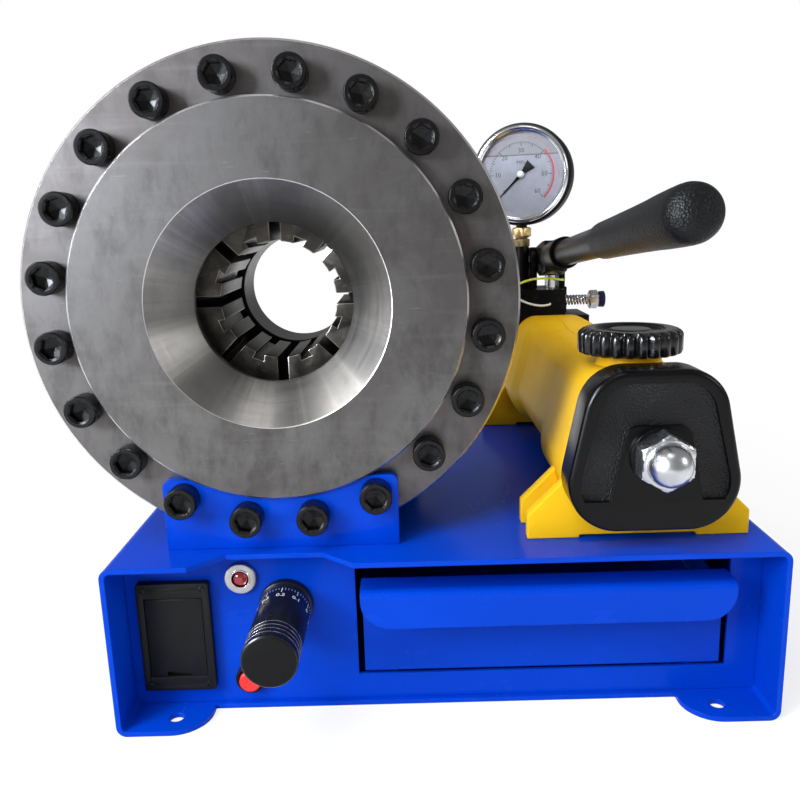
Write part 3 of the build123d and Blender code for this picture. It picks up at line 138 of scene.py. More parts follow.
class Finish(Graph):
    """One material: a Principled shader whose patterns read Object coordinates, in metres."""

    def __init__(self, name):
        self.material = bpy.data.materials.new(name)
        self.material.use_nodes = True
        super().__init__(self.material.node_tree)
        self.tree.nodes.clear()
        self.shader = self.tree.nodes.new("ShaderNodeBsdfPrincipled")
        output = self.tree.nodes.new("ShaderNodeOutputMaterial")
        self.tree.links.new(self.shader.outputs[0], output.inputs[0])

    def place(self, centre=(0, 0, 0), scale=(1, 1, 1), turn=(0, 0, 0)):
        """Object coordinates about a centre, stretched and turned."""
        where = self.add("ShaderNodeTexCoord", out="Object")
        moved = self.add(
            "ShaderNodeVectorMath", {"operation": "SUBTRACT"}, [where, tuple(centre)]
        )
        return self.add("ShaderNodeMapping", {}, {0: moved, 2: turn, 3: scale})

    def noise(self, where, scale, detail=3.0, rough=0.5, stretch=0.0):
        return self.add(
            "ShaderNodeTexNoise", {},
            {"Vector": where, "Scale": scale, "Detail": detail, "Roughness": rough,
             "Distortion": stretch},
        )

    def cells(self, where, scale):
        """Distance to the nearest of scattered points, for grain and pits."""
        return self.add("ShaderNodeTexVoronoi", {}, {"Vector": where, "Scale": scale})

    def xyz(self, where):
        """The three components of a vector."""
        split = self.add("ShaderNodeSeparateXYZ", {}, [where])
        return split, self.output_of(split, "Y"), self.output_of(split, "Z")

    def mix(self, amount, first, second):
        """Blend of two colours, from the first at 0 to the second at 1."""
        node = self.tree.nodes.new("ShaderNodeMix")
        node.data_type = "RGBA"
        for index, value in ((0, amount), (6, first), (7, second)):
            self.feed(node.inputs[index], value)
        return Value(self, node.outputs[2])

    def feed(self, socket, value):
        """Gives a socket a link, a colour or a number."""
        if isinstance(value, Value):
            self.tree.links.new(value.socket, socket)
        elif isinstance(value, (tuple, list)):
            socket.default_value = (*value[:3], 1.0)
        else:
            socket.default_value = value

    def bump(self, height, strength=0.2, distance=0.001, under=None):
        return self.add(
            "ShaderNodeBump", {},
            {"Strength": strength, "Distance": distance, "Height": height, "Normal": under},
        )

    def soft_edges(self, radius):
        """Normal that rounds the edges in shading."""
        return self.add("ShaderNodeBevel", {"samples": 4}, {"Radius": radius})

    def done(self, **sockets):
        """Feeds the shader's sockets and returns the material."""
        for key, value in sockets.items():
            self.feed(self.shader.inputs[key.replace("_", " ")], value)
        return self.material


def enamel(name, setting, darker, peel, rough, coat, grime):
    """Sprayed gloss paint on sheet steel, with faint orange peel and handling marks."""
    colour, shade = paint(setting, darker)
    f = Finish(name)
    where = f.place()
    broad = f.noise(where, 7.0, 4.0, 0.55)
    fine = f.noise(where, 260.0, 2.0, 0.5)
    smear = f.noise(f.place(scale=(14, 3, 22)), 2.0, 5.0, 0.6).step(0.5, 0.78)
    tone = f.mix(broad.step(0.3, 0.7), colour, shade)
    tone = f.mix(smear * grime, tone, tuple(min(1.0, c * 1.25 + 0.004) for c in colour))
    specks = f.noise(where, 900.0, 0.0, 0.5).step(0.735, 0.77)
    tone = f.mix(specks * 0.06, tone, (0.25, 0.3, 0.38))
    edge = f.soft_edges(0.0011)
    normal = f.bump(fine + broad * 0.6, peel, 0.0006, edge)
    return f.done(
        Base_Color=tone, Roughness=smear * 0.16 + rough, Normal=normal,
        Coat_Weight=coat, Coat_Roughness=0.07, Coat_IOR=1.3, Specular_IOR_Level=0.08,
    )


def plain_metal(name, colour, rough, wear=0.25, grain=600.0, metallic=1.0, tint=(0.2, 0.19, 0.17)):
    """Turned or plated metal with fine machining grain, dull patches and a little dirt."""
    f = Finish(name)
    where = f.place()
    patch = f.noise(where, 38.0, 5.0, 0.6)
    fine = f.noise(f.place(scale=(1.0, 1.0, 1.0)), grain, 2.0, 0.6)
    dirt = f.noise(where, 90.0, 6.0, 0.65).step(0.56, 0.75)
    tone = f.mix(patch.step(0.35, 0.7) * 0.35, colour, tuple(c * 0.72 for c in colour))
    tone = f.mix(dirt * wear, tone, tint)
    edge = f.soft_edges(0.0005)
    return f.done(
        Base_Color=tone, Metallic=metallic, Roughness=patch * 0.14 + dirt * 0.12 + rough,
        Normal=f.bump(fine, 0.12, 0.0003, edge),
    )


def head_steel(name, tone, stain, rough, rings, blotch):
    """Machined face of the crimping head: faint turning rings, oil stains and scratches."""
    f = Finish(name)
    where = f.place(centre=HEAD)
    x, _, z = f.xyz(where)
    radius = (x * x + z * z).math("SQRT")
    around = z.math("ARCTAN2", x)
    ring_place = f.add("ShaderNodeCombineXYZ", {}, [radius * 900.0, around * 0.6, 0.0])
    ring = f.noise(ring_place, 1.0, 3.0, 0.7)
    cloud = f.noise(where, 11.0, 7.0, 0.62, 0.6)
    mottle = f.noise(f.place(centre=HEAD, scale=(60, 60, 26), turn=(0, 0.5, 0)), 1.0, 6.0, 0.68)
    streak = f.noise(f.place(centre=HEAD, scale=(9, 9, 170), turn=(0, 1.1, 0)), 1.0, 4.0, 0.6)
    scratch = f.noise(f.place(centre=HEAD, scale=(60, 10, 1500), turn=(0, 0.9, 0)), 1.0, 2.0, 0.5)
    scratch = scratch.step(0.72, 0.8)
    pits = f.cells(where, 420.0).step(0.09, 0.03)
    dark = f.mix(cloud.step(0.36, 0.68), tone, stain)
    dark = f.mix(mottle.step(0.42, 0.72) * blotch, dark, tuple(c * 0.62 for c in stain))
    dark = f.mix(streak.step(0.5, 0.8) * 0.3, dark, tuple(c * 1.2 for c in tone))
    dark = f.mix(scratch * 0.22, dark, (0.75, 0.75, 0.75))
    dark = f.mix(pits * 0.35, dark, (0.06, 0.055, 0.05))
    grain = ring * rings + mottle * 0.6 + scratch * 0.15
    return f.done(
        Base_Color=dark, Metallic=0.92,
        Roughness=cloud * 0.2 + mottle * 0.12 + rough,
        Normal=f.bump(grain, 0.22, 0.0004),
    )


def cone_steel(name):
    """Polished lead-in cone: concentric tool marks, with brighter radial rays painted into its colour
    as painted highlight wedges.
    """
    f = Finish(name)
    where = f.place(centre=HEAD)
    x, _, z = f.xyz(where)
    radius = (x * x + z * z).math("SQRT")
    around = z.math("ARCTAN2", x)
    rings = f.noise(f.add("ShaderNodeCombineXYZ", {}, [radius * 2600.0, 0.0, 0.0]), 1.0, 2.0, 0.7)
    bands = f.add("ShaderNodeCombineXYZ", {}, [radius * 300.0, around * 0.4, 0.0])
    wide = f.noise(bands, 1.0, 3.0, 0.6)
    spokes = f.add("ShaderNodeCombineXYZ", {}, [x / radius * 5.0, z / radius * 5.0, radius * 2.0])
    highlight_rays = f.noise(spokes, 1.0, 5.0, 0.7)
    cloud = f.noise(where, 26.0, 6.0, 0.6)
    tone = f.mix(cloud.step(0.35, 0.7), (0.24, 0.232, 0.222), (0.17, 0.163, 0.156))
    # painted highlight: brighter radial rays stand in for the light that the polished cone spreads into
    # wedges
    tone = f.mix(highlight_rays.step(0.45, 0.75) * 0.55, tone, (0.40, 0.39, 0.372))
    tone = f.mix(wide.step(0.55, 0.8) * 0.3, tone, (0.13, 0.125, 0.12))
    return f.done(
        Base_Color=tone, Metallic=1.0, Roughness=wide * 0.14 + 0.24,
        Normal=f.bump(rings, 0.5, 0.00012, f.bump(wide, 0.15, 0.0003)),
    )


def moulded(
    name, colour, rough, grain=0.0, grain_scale=900.0, dust=0.12, spec=0.2, coat=0.0, relief=0.35
):
    """Moulded plastic or rubber, smooth or with a leather grain whose raised cells are painted lighter
    as painted highlight glints.
    """
    f = Finish(name)
    where = f.place()
    cells = f.cells(where, grain_scale)
    small = f.noise(where, 1400.0, 1.0, 0.5)
    haze = f.noise(where, 24.0, 5.0, 0.62)
    lint = f.noise(where, 340.0, 4.0, 0.7).step(0.6, 0.78)
    tone = f.mix(haze.step(0.4, 0.75) * 0.6, colour, tuple(c * 1.5 + 0.0008 for c in colour))
    tone = f.mix(lint * dust, tone, (0.12, 0.12, 0.125))
    # painted highlight: the tips of the grain's cells are painted lighter, standing for glints on the
    # grain
    tone = f.mix(cells.step(0.32, 0.08) * (grain * 0.22), tone, tuple(c * 3.0 + 0.03 for c in colour))
    pattern = (1.0 - cells) * grain + small * 0.1
    edge = f.soft_edges(0.0004)
    return f.done(
        Base_Color=tone, Roughness=haze * 0.14 + lint * 0.1 + rough,
        Normal=f.bump(pattern, relief, 0.0005, edge),
        Specular_IOR_Level=spec, Coat_Weight=coat, Coat_Roughness=0.06,
    )


def die_steel(name):
    """Oiled, heat-blackened tool steel of the dies, with bright rubbed patches."""
    f = Finish(name)
    where = f.place(centre=HEAD)
    cloud = f.noise(where, 55.0, 6.0, 0.65)
    rub = f.noise(f.place(centre=HEAD, scale=(1, 0.25, 1)), 150.0, 5.0, 0.7).step(0.54, 0.72)
    fine = f.noise(where, 1100.0, 2.0, 0.6)
    tone = f.mix(cloud.step(0.35, 0.7), (0.030, 0.027, 0.024), (0.062, 0.056, 0.048))
    tone = f.mix(rub * 0.45, tone, (0.15, 0.135, 0.12))
    edge = f.soft_edges(0.0008)
    return f.done(
        Base_Color=tone, Metallic=0.85, Roughness=cloud * 0.22 + 0.24,
        Normal=f.bump(fine, 0.18, 0.0003, edge),
    )


def cast_paint(name, setting, darker):
    """Satin paint over the cast tank: soft mottling, faint runs and small chips."""
    colour, shade = paint(setting, darker)
    f = Finish(name)
    where = f.place()
    broad = f.noise(where, 16.0, 5.0, 0.6)
    skin = f.noise(where, 420.0, 3.0, 0.6)
    dirt = f.noise(f.place(scale=(1, 1, 0.35)), 60.0, 6.0, 0.68).step(0.58, 0.8)
    tone = f.mix(broad.step(0.32, 0.7), colour, shade)
    tone = f.mix(dirt * 0.07, tone, tuple(c * 0.45 for c in shade))
    edge = f.soft_edges(0.0010)
    return f.done(
        Base_Color=tone, Roughness=broad * 0.12 + dirt * 0.15 + 0.36,
        Normal=f.bump(skin + broad * 0.25, 0.14, 0.0006, edge),
        Specular_IOR_Level=0.04,
    )


def clear_glass(name, tint, rough):
    """Clear glass with faint smudges."""
    f = Finish(name)
    where = f.place()
    smudge = f.noise(where, 60.0, 5.0, 0.6).step(0.5, 0.8)
    return f.done(
        Base_Color=tint, Roughness=smudge * 0.05 + rough, Transmission_Weight=1.0, IOR=1.45,
        Alpha=0.35,
    )


def printed_face(name):
    """Printed dial under its filling liquid, which ends in a dark level line; above the line the face
    is painted darker, painted shade for the air gap at the top.
    """
    f = Finish(name)
    where = f.place(centre=middle("gauge_bezel"))
    z = f.xyz(where)[2]
    cloud = f.noise(where, 60.0, 4.0, 0.6)
    shaded_above_level = z.step(0.0212, 0.0218)
    level = shaded_above_level * (1.0 - z.step(0.0222, 0.0232))
    tone = f.mix(cloud.step(0.3, 0.75), (0.30, 0.315, 0.37), (0.25, 0.26, 0.30))
    # painted shade: the face above the liquid's level line is painted darker
    tone = f.mix(shaded_above_level * 0.6, tone, (0.20, 0.20, 0.205))
    tone = f.mix(level * 0.8, tone, (0.08, 0.08, 0.085))
    return f.done(Base_Color=tone, Roughness=cloud * 0.1 + 0.5, Specular_IOR_Level=0.1)


def ink(name, colour, rough=0.5):
    """Printing ink, a little worn."""
    f = Finish(name)
    where = f.place()
    worn = f.noise(where, 1500.0, 3.0, 0.6).step(0.6, 0.8)
    tone = f.mix(worn * 0.25, colour, tuple(c * 0.6 for c in colour))
    return f.done(Base_Color=tone, Roughness=rough)


FINISHES = {
    "blue_enamel": (enamel, "base", 0.86, 0.03, 0.2, 0.04, 0.05),
    "cover_ground": (head_steel, (0.142, 0.134, 0.132), (0.090, 0.080, 0.077), 0.26, 0.5, 0.6),
    "boss_ground": (head_steel, (0.158, 0.152, 0.150), (0.100, 0.092, 0.089), 0.23, 0.35, 0.65),
    # painted highlight: the head cover's chamfers are steel far brighter than its faces, standing for
    # highlight lines round the edges
    "edge_bright": (plain_metal, (0.62, 0.61, 0.60), 0.28, 0.1),
    "barrel_turned": (head_steel, (0.18, 0.172, 0.168), (0.13, 0.122, 0.118), 0.34, 0.2, 0.3),
    "cone_polished": (cone_steel,),
    "die_black": (die_steel,),
    "black_oxide": (plain_metal, (0.0045, 0.0045, 0.005), 0.2, 0.15, 900.0, 0.5, (0.015, 0.014, 0.013)),
    "zinc": (plain_metal, (0.62, 0.63, 0.65), 0.2, 0.3, 700.0, 1.0, (0.3, 0.28, 0.24)),
    "chrome": (plain_metal, (0.82, 0.83, 0.85), 0.07, 0.08, 500.0, 1.0, (0.4, 0.38, 0.36)),
    "satin_alloy": (plain_metal, (0.56, 0.55, 0.54), 0.3, 0.15, 1200.0),
    "brass": (plain_metal, (0.78, 0.56, 0.26), 0.24, 0.3, 700.0, 1.0, (0.25, 0.17, 0.08)),
    "black_gloss": (moulded, (0.004, 0.004, 0.005), 0.12, 0.0, 900.0, 0.06, 0.5, 0.0),
    "cap_gloss": (moulded, (0.0020, 0.0020, 0.0024), 0.18, 0.0, 900.0, 0.02, 0.18, 0.0),
    "black_leather": (moulded, (0.0030, 0.0030, 0.0038), 0.3, 1.0, 700.0, 0.04, 0.32, 0.0, 1.0),
    "black_satin": (moulded, (0.005, 0.005, 0.0055), 0.3, 0.0, 900.0, 0.06, 0.15),
    "grip_rubber": (moulded, (0.0030, 0.0034, 0.0042), 0.36, 1.0, 620.0, 0.04, 0.2, 0.0, 1.0),
    "module_black": (moulded, (0.005, 0.005, 0.005), 0.38, 0.4, 1300.0, 0.04),
    "pump_black": (plain_metal, (0.009, 0.009, 0.0095), 0.3, 0.35, 500.0, 0.9, (0.04, 0.035, 0.03)),
    "tube_dark": (moulded, (0.0026, 0.0026, 0.0030), 0.24, 0.0, 900.0, 0.05, 0.16),
    "yellow_paint": (cast_paint, "tank", 0.94),
    "red_lens": (moulded, (0.30, 0.008, 0.008), 0.08, 0.0, 900.0, 0.0, 0.6, 0.8),
    "red_button": (moulded, (0.72, 0.035, 0.03), 0.28, 0.0, 900.0, 0.05),
    "dial_face": (printed_face,),
    "glass": (clear_glass, (0.96, 0.97, 0.98), 0.02),
    "white_ink": (ink, (0.85, 0.85, 0.85)),
    "black_ink": (ink, (0.02, 0.02, 0.02)),
    "red_ink": (ink, (0.46, 0.02, 0.035)),
    "piston_steel": (plain_metal, (0.04, 0.037, 0.034), 0.3, 0.4, 500.0, 0.9, (0.05, 0.042, 0.035)),
    # painted shade: the rear cover's steel is made nearly black, standing for the shade deep behind the
    # dies
    "rear_steel": (head_steel, (0.045, 0.042, 0.040), (0.03, 0.028, 0.027), 0.34, 0.3, 0.4),
    "die_edge": (plain_metal, (0.24, 0.22, 0.20), 0.24, 0.3, 700.0, 1.0, (0.12, 0.11, 0.1)),
    "knob_black": (moulded, (0.006, 0.006, 0.008), 0.16, 0.0, 900.0, 0.05, 0.3),
    "knob_edge": (plain_metal, (0.35, 0.35, 0.36), 0.2, 0.2, 700.0, 0.8),
    "knob_blue": (moulded, (0.008, 0.010, 0.05), 0.3),
    "boot_rubber": (moulded, (0.009, 0.009, 0.010), 0.4, 0.3, 900.0, 0.1),
    "brass_dark": (plain_metal, (0.32, 0.24, 0.13), 0.28, 0.4, 600.0, 1.0, (0.1, 0.07, 0.04)),
    "lead_white": (moulded, (0.75, 0.75, 0.72), 0.35, 0.0, 900.0, 0.2),
    "lead_yellow": (moulded, (0.62, 0.66, 0.08), 0.35, 0.0, 900.0, 0.2),
}
_made = {}


def paint(setting, darker):
    """A paint colour from the scene's settings, and the same darkened."""
    colour = tuple(getattr(bpy.context.scene.crimper_colours, setting))
    return colour, tuple(c * darker for c in colour)


def finish(name):
    """The material of that name, made once."""
    if name not in _made:
        make, *how = FINISHES[name]
        _made[name] = make(name, *how)
    return _made[name]


def dress(node, name):
    """Gives a shown CAD node its material."""
    slots = NODES[node].data.materials
    slots.clear()
    slots.append(finish(name))


# ------------------------------------------------------------------ mesh building
def link(mesh, name):
    """Puts a mesh into the scene as an object."""
    made = bpy.data.objects.new(name, mesh)
    bpy.context.scene.collection.objects.link(made)
    return made


def skin(name, rings, finishes, spans=None, caps=(True, True), soft=35.0, loop=False):
    """Joins rings of points into one skin. spans gives the finish of each band between rings."""
    count = len(rings[0])
    points = [tuple(p) for ring in rings for p in ring]
    faces, looks = [], []
    bands = len(rings) if loop else len(rings) - 1
    for band in range(bands):
        near, far = band * count, ((band + 1) % len(rings)) * count
        look = spans[band] if spans else 0
        for i in range(count):
            j = (i + 1) % count
            faces.append((near + i, near + j, far + j, far + i))
            looks.append(look)
    for end, wanted in ((0, caps[0]), (len(rings) - 1, caps[1])):
        if wanted and not loop:
            ring = rings[end]
            centre = [sum(p[axis] for p in ring) / count for axis in range(3)]
            hub = len(points)
            points.append(tuple(centre))
            look = spans[0 if end == 0 else -1] if spans else 0
            for i in range(count):
                j = (i + 1) % count
                near = end * count
                faces.append((near + j, near + i, hub) if end == 0 else (near + i, near + j, hub))
                looks.append(look)
    mesh = bpy.data.meshes.new(name)
    mesh.from_pydata(points, [], faces)
    for n in [finishes] if isinstance(finishes, str) else finishes:
        mesh.materials.append(finish(n))
    mesh.polygons.foreach_set("material_index", looks)
    tidy(mesh, soft)
    return link(mesh, name)


def tidy(mesh, soft=35.0):
    """Merges doubles, turns the faces outwards and smooths all but the sharp edges."""
    work = bmesh.new()
    work.from_mesh(mesh)
    bmesh.ops.remove_doubles(work, verts=work.verts, dist=1e-7)
    bmesh.ops.dissolve_degenerate(work, edges=work.edges, dist=1e-7)
    bmesh.ops.recalc_face_normals(work, faces=work.faces)
    work.to_mesh(mesh)
    work.free()
    mesh.shade_smooth()
    mesh.set_sharp_from_angle(angle=math.radians(soft))
    mesh.update()


def ring_about(centre, y, radius, count, shape=None):
    """Ring of points about a front-to-rear axis; shape bends the radius with the angle."""
    points = []
    for i in range(count):
        angle = TURN * i / count
        r = shape(angle, radius) if shape else radius
        points.append((centre[0] + r * math.cos(angle), y, centre[1] + r * math.sin(angle)))
    return points


def turned(
    name, centre, profile, finishes, spans=None, count=96, soft=35.0, caps=(True, True), loop=False
):
    """A turned piece about a front-to-rear axis, from (y, radius[, shape]) stations."""
    rings = []
    for station in profile:
        shape = station[2] if len(station) > 2 else None
        rings.append(ring_about(centre, station[0], max(station[1], 1e-6), count, shape))
    return skin(name, rings, finishes, spans, caps, soft, loop)


def hexagon(angle, radius):
    """Hexagon with flats at the given radius."""
    within = (angle + math.pi / 6) % (math.pi / 3) - math.pi / 6
    return radius / math.cos(within)


def flutes(count, depth):
    """Rounded flutes cut into a rim."""

    def shape(angle, radius):
        return radius - depth * (0.5 - 0.5 * math.cos(angle * count)) ** 2.2
    return shape


def rounded(corners, steps=8):
    """Outline through (x, z, radius) corners with each corner rounded."""
    outline = []
    total = len(corners)
    for i, (x, z, r) in enumerate(corners):
        here = Vector((x, z))
        before = (Vector(corners[i - 1][:2]) - here).normalized()
        after = (Vector(corners[(i + 1) % total][:2]) - here).normalized()
        half = before.angle(after) / 2
        reach = r / math.tan(half)
        centre = here + (before + after).normalized() * (r / math.sin(half))
        start, end = here + before * reach - centre, here + after * reach - centre
        for k in range(steps + 1):
            t = k / steps
            sweep = start.angle_signed(end) if start.length > 1e-9 else 0.0
            angle = -sweep * t
            turned_point = Vector((
                start.x * math.cos(angle) - start.y * math.sin(angle),
                start.x * math.sin(angle) + start.y * math.cos(angle),
            ))
            outline.append(centre + turned_point)
    return outline


def loft(name, sections, finish_name, soft=35.0):
    """Skin over outlines standing at front-to-rear stations: (y, outline)."""
    rings = [[(p.x, y, p.y) for p in outline] for y, outline in sections]
    return skin(name, rings, finish_name, soft=soft)


def move(made, matrix):
    """Moves a piece's mesh and leaves the object at the origin."""
    made.data.transform(matrix)
    return made


def settle(made):
    """Turns a piece with modifiers into a plain mesh."""
    graph = bpy.context.evaluated_depsgraph_get()
    mesh = bpy.data.meshes.new_from_object(made.evaluated_get(graph), depsgraph=graph)
    old = made.data
    made.modifiers.clear()
    made.data = mesh
    mesh.name = made.name
    if old.users == 0:
        bpy.data.meshes.remove(old)
    return made


def join(name, pieces):
    """Merges several pieces into one object."""
    mesh = bpy.data.meshes.new(name)
    points, faces, looks, materials = [], [], [], []
    for piece in pieces:
        offset = len(points)
        points += [tuple(v.co) for v in piece.data.vertices]
        table = []
        for material in piece.data.materials:
            if material not in materials:
                materials.append(material)
            table.append(materials.index(material))
        for face in piece.data.polygons:
            faces.append([offset + v for v in face.vertices])
            looks.append(table[face.material_index] if table else 0)
        bpy.data.objects.remove(piece)
    mesh.from_pydata(points, [], faces)
    for material in materials:
        mesh.materials.append(material)
    mesh.polygons.foreach_set("material_index", looks)
    mesh.shade_smooth()
    mesh.set_sharp_from_angle(angle=math.radians(35))
    return link(mesh, name)


def tube(name, points, radius, finish_name, sides=16):
    """Round tube along a smooth line through the points."""
    line = [Vector(p) for p in points]
    rings = []
    side = None
    for i, here in enumerate(line):
        ahead = line[min(i + 1, len(line) - 1)] - line[max(i - 1, 0)]
        ahead.normalize()
        if side is None:
            side = ahead.orthogonal().normalized()
        side = (side - ahead * side.dot(ahead)).normalized()
        other = ahead.cross(side)
        r = radius(i / (len(line) - 1)) if callable(radius) else radius
        rings.append([
            here + (side * math.cos(TURN * k / sides) + other * math.sin(TURN * k / sides)) * r
            for k in range(sides)
        ])
    return skin(name, rings, finish_name)


def lettering(name, body, size, finish_name, depth=0.00012):
    """Raised characters in the local X-Y plane, centred, as a mesh."""
    curve = bpy.data.curves.new(name, "FONT")
    curve.body = body
    curve.size = size
    curve.align_x = "CENTER"
    curve.align_y = "CENTER"
    curve.extrude = depth
    curve.resolution_u = 2
    text = bpy.data.objects.new(name, curve)
    bpy.context.scene.collection.objects.link(text)
    graph = bpy.context.evaluated_depsgraph_get()
    mesh = bpy.data.meshes.new_from_object(text.evaluated_get(graph), depsgraph=graph)
    bpy.data.objects.remove(text)
    bpy.data.curves.remove(curve)
    mesh.materials.clear()
    mesh.materials.append(finish(finish_name))
    return link(mesh, name)


# ------------------------------------------------------------------ repeats made with Geometry Nodes
def repeat(name, unit, count, radius, start, step, centre, finish_name, spread=0.0, seed=1):
    """Sets a unit on a circle about a front-to-rear axis and returns the plain mesh."""
    tree = bpy.data.node_groups.new(name, "GeometryNodeTree")
    face = tree.interface
    sockets = {}
    for label, kind, way in (
        ("Geometry", "NodeSocketGeometry", "INPUT"), ("Unit", "NodeSocketObject", "INPUT"),
        ("Count", "NodeSocketInt", "INPUT"), ("Circle Radius", "NodeSocketFloat", "INPUT"),
        ("Start Angle", "NodeSocketFloat", "INPUT"), ("Step Angle", "NodeSocketFloat", "INPUT"),
        ("Spread", "NodeSocketFloat", "INPUT"), ("Seed", "NodeSocketInt", "INPUT"),
        ("Material", "NodeSocketMaterial", "INPUT"),
    ):
        sockets[label] = face.new_socket(name=label, in_out=way, socket_type=kind)
    face.new_socket(name="Geometry", in_out="OUTPUT", socket_type="NodeSocketGeometry")
    graph = Graph(tree)
    given = graph.add("NodeGroupInput")

    def want(label):
        return graph.output_of(given, label)

    index = graph.add("GeometryNodeInputIndex")
    angle = index * want("Step Angle") + want("Start Angle")
    at = graph.add(
        "ShaderNodeCombineXYZ", {},
        [angle.math("COSINE") * want("Circle Radius"), 0.0, angle.math("SINE") * want("Circle Radius")],
    )
    points = graph.add("GeometryNodePoints", {}, {"Count": want("Count"), "Position": at})
    stray = graph.add(
        "FunctionNodeRandomValue", {"data_type": "FLOAT"}, {"Seed": want("Seed")}, out="Value"
    )
    stray = [o for o in stray.socket.node.outputs if o.enabled and o.type == "VALUE"][0]
    stray = Value(graph, stray) * want("Spread")
    spin = graph.add("ShaderNodeCombineXYZ", {}, [0.0, (angle + stray) * -1.0, 0.0])
    spin = graph.add("FunctionNodeEulerToRotation", {}, [spin])
    unit_info = graph.add("GeometryNodeObjectInfo", {}, {"Object": want("Unit")}, out="Geometry")
    placed = graph.add(
        "GeometryNodeInstanceOnPoints", {}, {"Points": points, "Instance": unit_info, "Rotation": spin}
    )
    solid = graph.add("GeometryNodeRealizeInstances", {}, {"Geometry": placed})
    coloured = graph.add(
        "GeometryNodeSetMaterial", {}, {"Geometry": solid, "Material": want("Material")}
    )
    graph.add("NodeGroupOutput", {}, {"Geometry": coloured})
    made = link(bpy.data.meshes.new(name), name)
    modifier = made.modifiers.new(name, "NODES")
    modifier.node_group = tree
    for label, value in (
        ("Unit", unit), ("Count", count), ("Circle Radius", radius), ("Start Angle", start),
        ("Step Angle", step), ("Spread", spread), ("Seed", seed), ("Material", finish(finish_name)),
    ):
        modifier[sockets[label].identifier] = value
    settle(made)
    move(made, Matrix.Translation(Vector(centre)))
    made.data.shade_smooth()
    made.data.set_sharp_from_angle(angle=math.radians(35))
    return made


def drop(*pieces):
    """Removes pieces that only served as units."""
    for piece in pieces:
        bpy.data.objects.remove(piece)


def cap_screw_unit(name, head_radius, head_height, hex_flats, knurls=48):
    """Socket-head cap screw, its head towards the front and its seat at y = 0."""
    front_y = -head_height
    knurl = flutes(knurls, head_radius * 0.035)
    return turned(
        name, (0, 0),
        [
            (0.0, head_radius * 0.5), (0.0, head_radius * 0.97),
            (-0.0006, head_radius * 0.985, knurl), (front_y + 0.0022, head_radius * 0.99, knurl),
            (front_y + 0.0016, head_radius), (front_y + 0.0007, head_radius * 0.985),
            (front_y, head_radius * 0.93), (front_y, hex_flats / 2 * 1.24),
            (front_y + 0.0009, hex_flats / 2 * 1.06, hexagon),
            (front_y + 0.0009, hex_flats / 2, hexagon),
            (front_y + hex_flats * 0.55, hex_flats / 2, hexagon), (front_y + hex_flats * 0.66, 0.0),
        ],
        "black_oxide", count=knurls * 2, soft=32, caps=(True, False),
    )


# ------------------------------------------------------------------ fitting pieces to the frame
def fit(made, body, *nodes, slot=None):
    """Lets a piece ride on its body and stand for CAD nodes."""
    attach(made, body)
    if nodes:
        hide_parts(*nodes)
    return made


def aim(made, origin, direction):
    """Turns a piece made along +Y so that it starts at origin and runs along direction."""
    turn = Vector((0, 1, 0)).rotation_difference(Vector(direction).normalized())
    return move(made, Matrix.Translation(Vector(origin)) @ turn.to_matrix().to_4x4())


def lathe(name, origin, direction, profile, finishes, **how):
    """A turned piece whose (distance, radius) stations run from origin along direction."""
    return aim(turned(name, (0, 0), profile, finishes, **how), origin, direction)


def eased(node, name, width, look, edge_look=None, segments=2, angle=30.0):
    """Merged copy of a CAD node with rounded edges, which may have a finish of their own."""
    mesh = NODES[node].data.copy()
    mesh.name = name
    mesh.materials.clear()
    mesh.materials.append(finish(look))
    if edge_look:
        mesh.materials.append(finish(edge_look))
    for attribute in ("custom_normal", "sharp_face", "sharp_edge"):
        if attribute in mesh.attributes:
            mesh.attributes.remove(mesh.attributes[attribute])
    work = bmesh.new()
    work.from_mesh(mesh)
    bmesh.ops.remove_doubles(work, verts=work.verts, dist=2e-6)
    bmesh.ops.dissolve_degenerate(work, edges=work.edges, dist=2e-6)
    bmesh.ops.dissolve_limit(
        work, angle_limit=math.radians(0.4), verts=work.verts, edges=work.edges
    )
    for face in work.faces:
        face.smooth = True
        face.material_index = 0
    work.to_mesh(mesh)
    work.free()
    made = link(mesh, name)
    modifier = made.modifiers.new("edges", "BEVEL")
    modifier.width = width
    modifier.segments = segments
    modifier.limit_method = "ANGLE"
    modifier.angle_limit = math.radians(angle)
    if edge_look:
        modifier.material = 1
    settle(made)
    made.data.shade_smooth()
    made.data.set_sharp_from_angle(angle=math.radians(32))
    return made


def ease(node, body, slot, width, look, **how):
    """Eased copy of a CAD node, riding on its body in the node's place."""
    return fit(eased(node, node + "_dressed", width, look, **how), body, node, slot=slot)


# ------------------------------------------------------------------ settings
class CrimperSizes(bpy.types.PropertyGroup):
    """Sizes of the dressed machine that a user may change."""

    screw_head: bpy.props.FloatProperty(
        name="Screw head", description="Radius of a cover screw's head", default=0.012,
        unit="LENGTH", subtype="DISTANCE",
    )
    screw_knurls: bpy.props.IntProperty(
        name="Knurls", description="Knurls round a cap screw", default=40, min=12, max=90
    )
    cap_flutes: bpy.props.IntProperty(
        name="Cap flutes", description="Flutes round the filler cap", default=24, min=8, max=60
    )
    round_steps: bpy.props.IntProperty(
        name="Round steps", description="Segments of the large turned faces",
        default=192, min=48, max=512,
    )
    spring_turns: bpy.props.IntProperty(
        name="Spring turns", description="Turns of the release rod's spring", default=8, min=3, max=20
    )
    edge: bpy.props.FloatProperty(
        name="Edge rounding", description="Rounding of machined edges", default=0.0006,
        unit="LENGTH", subtype="DISTANCE",
    )


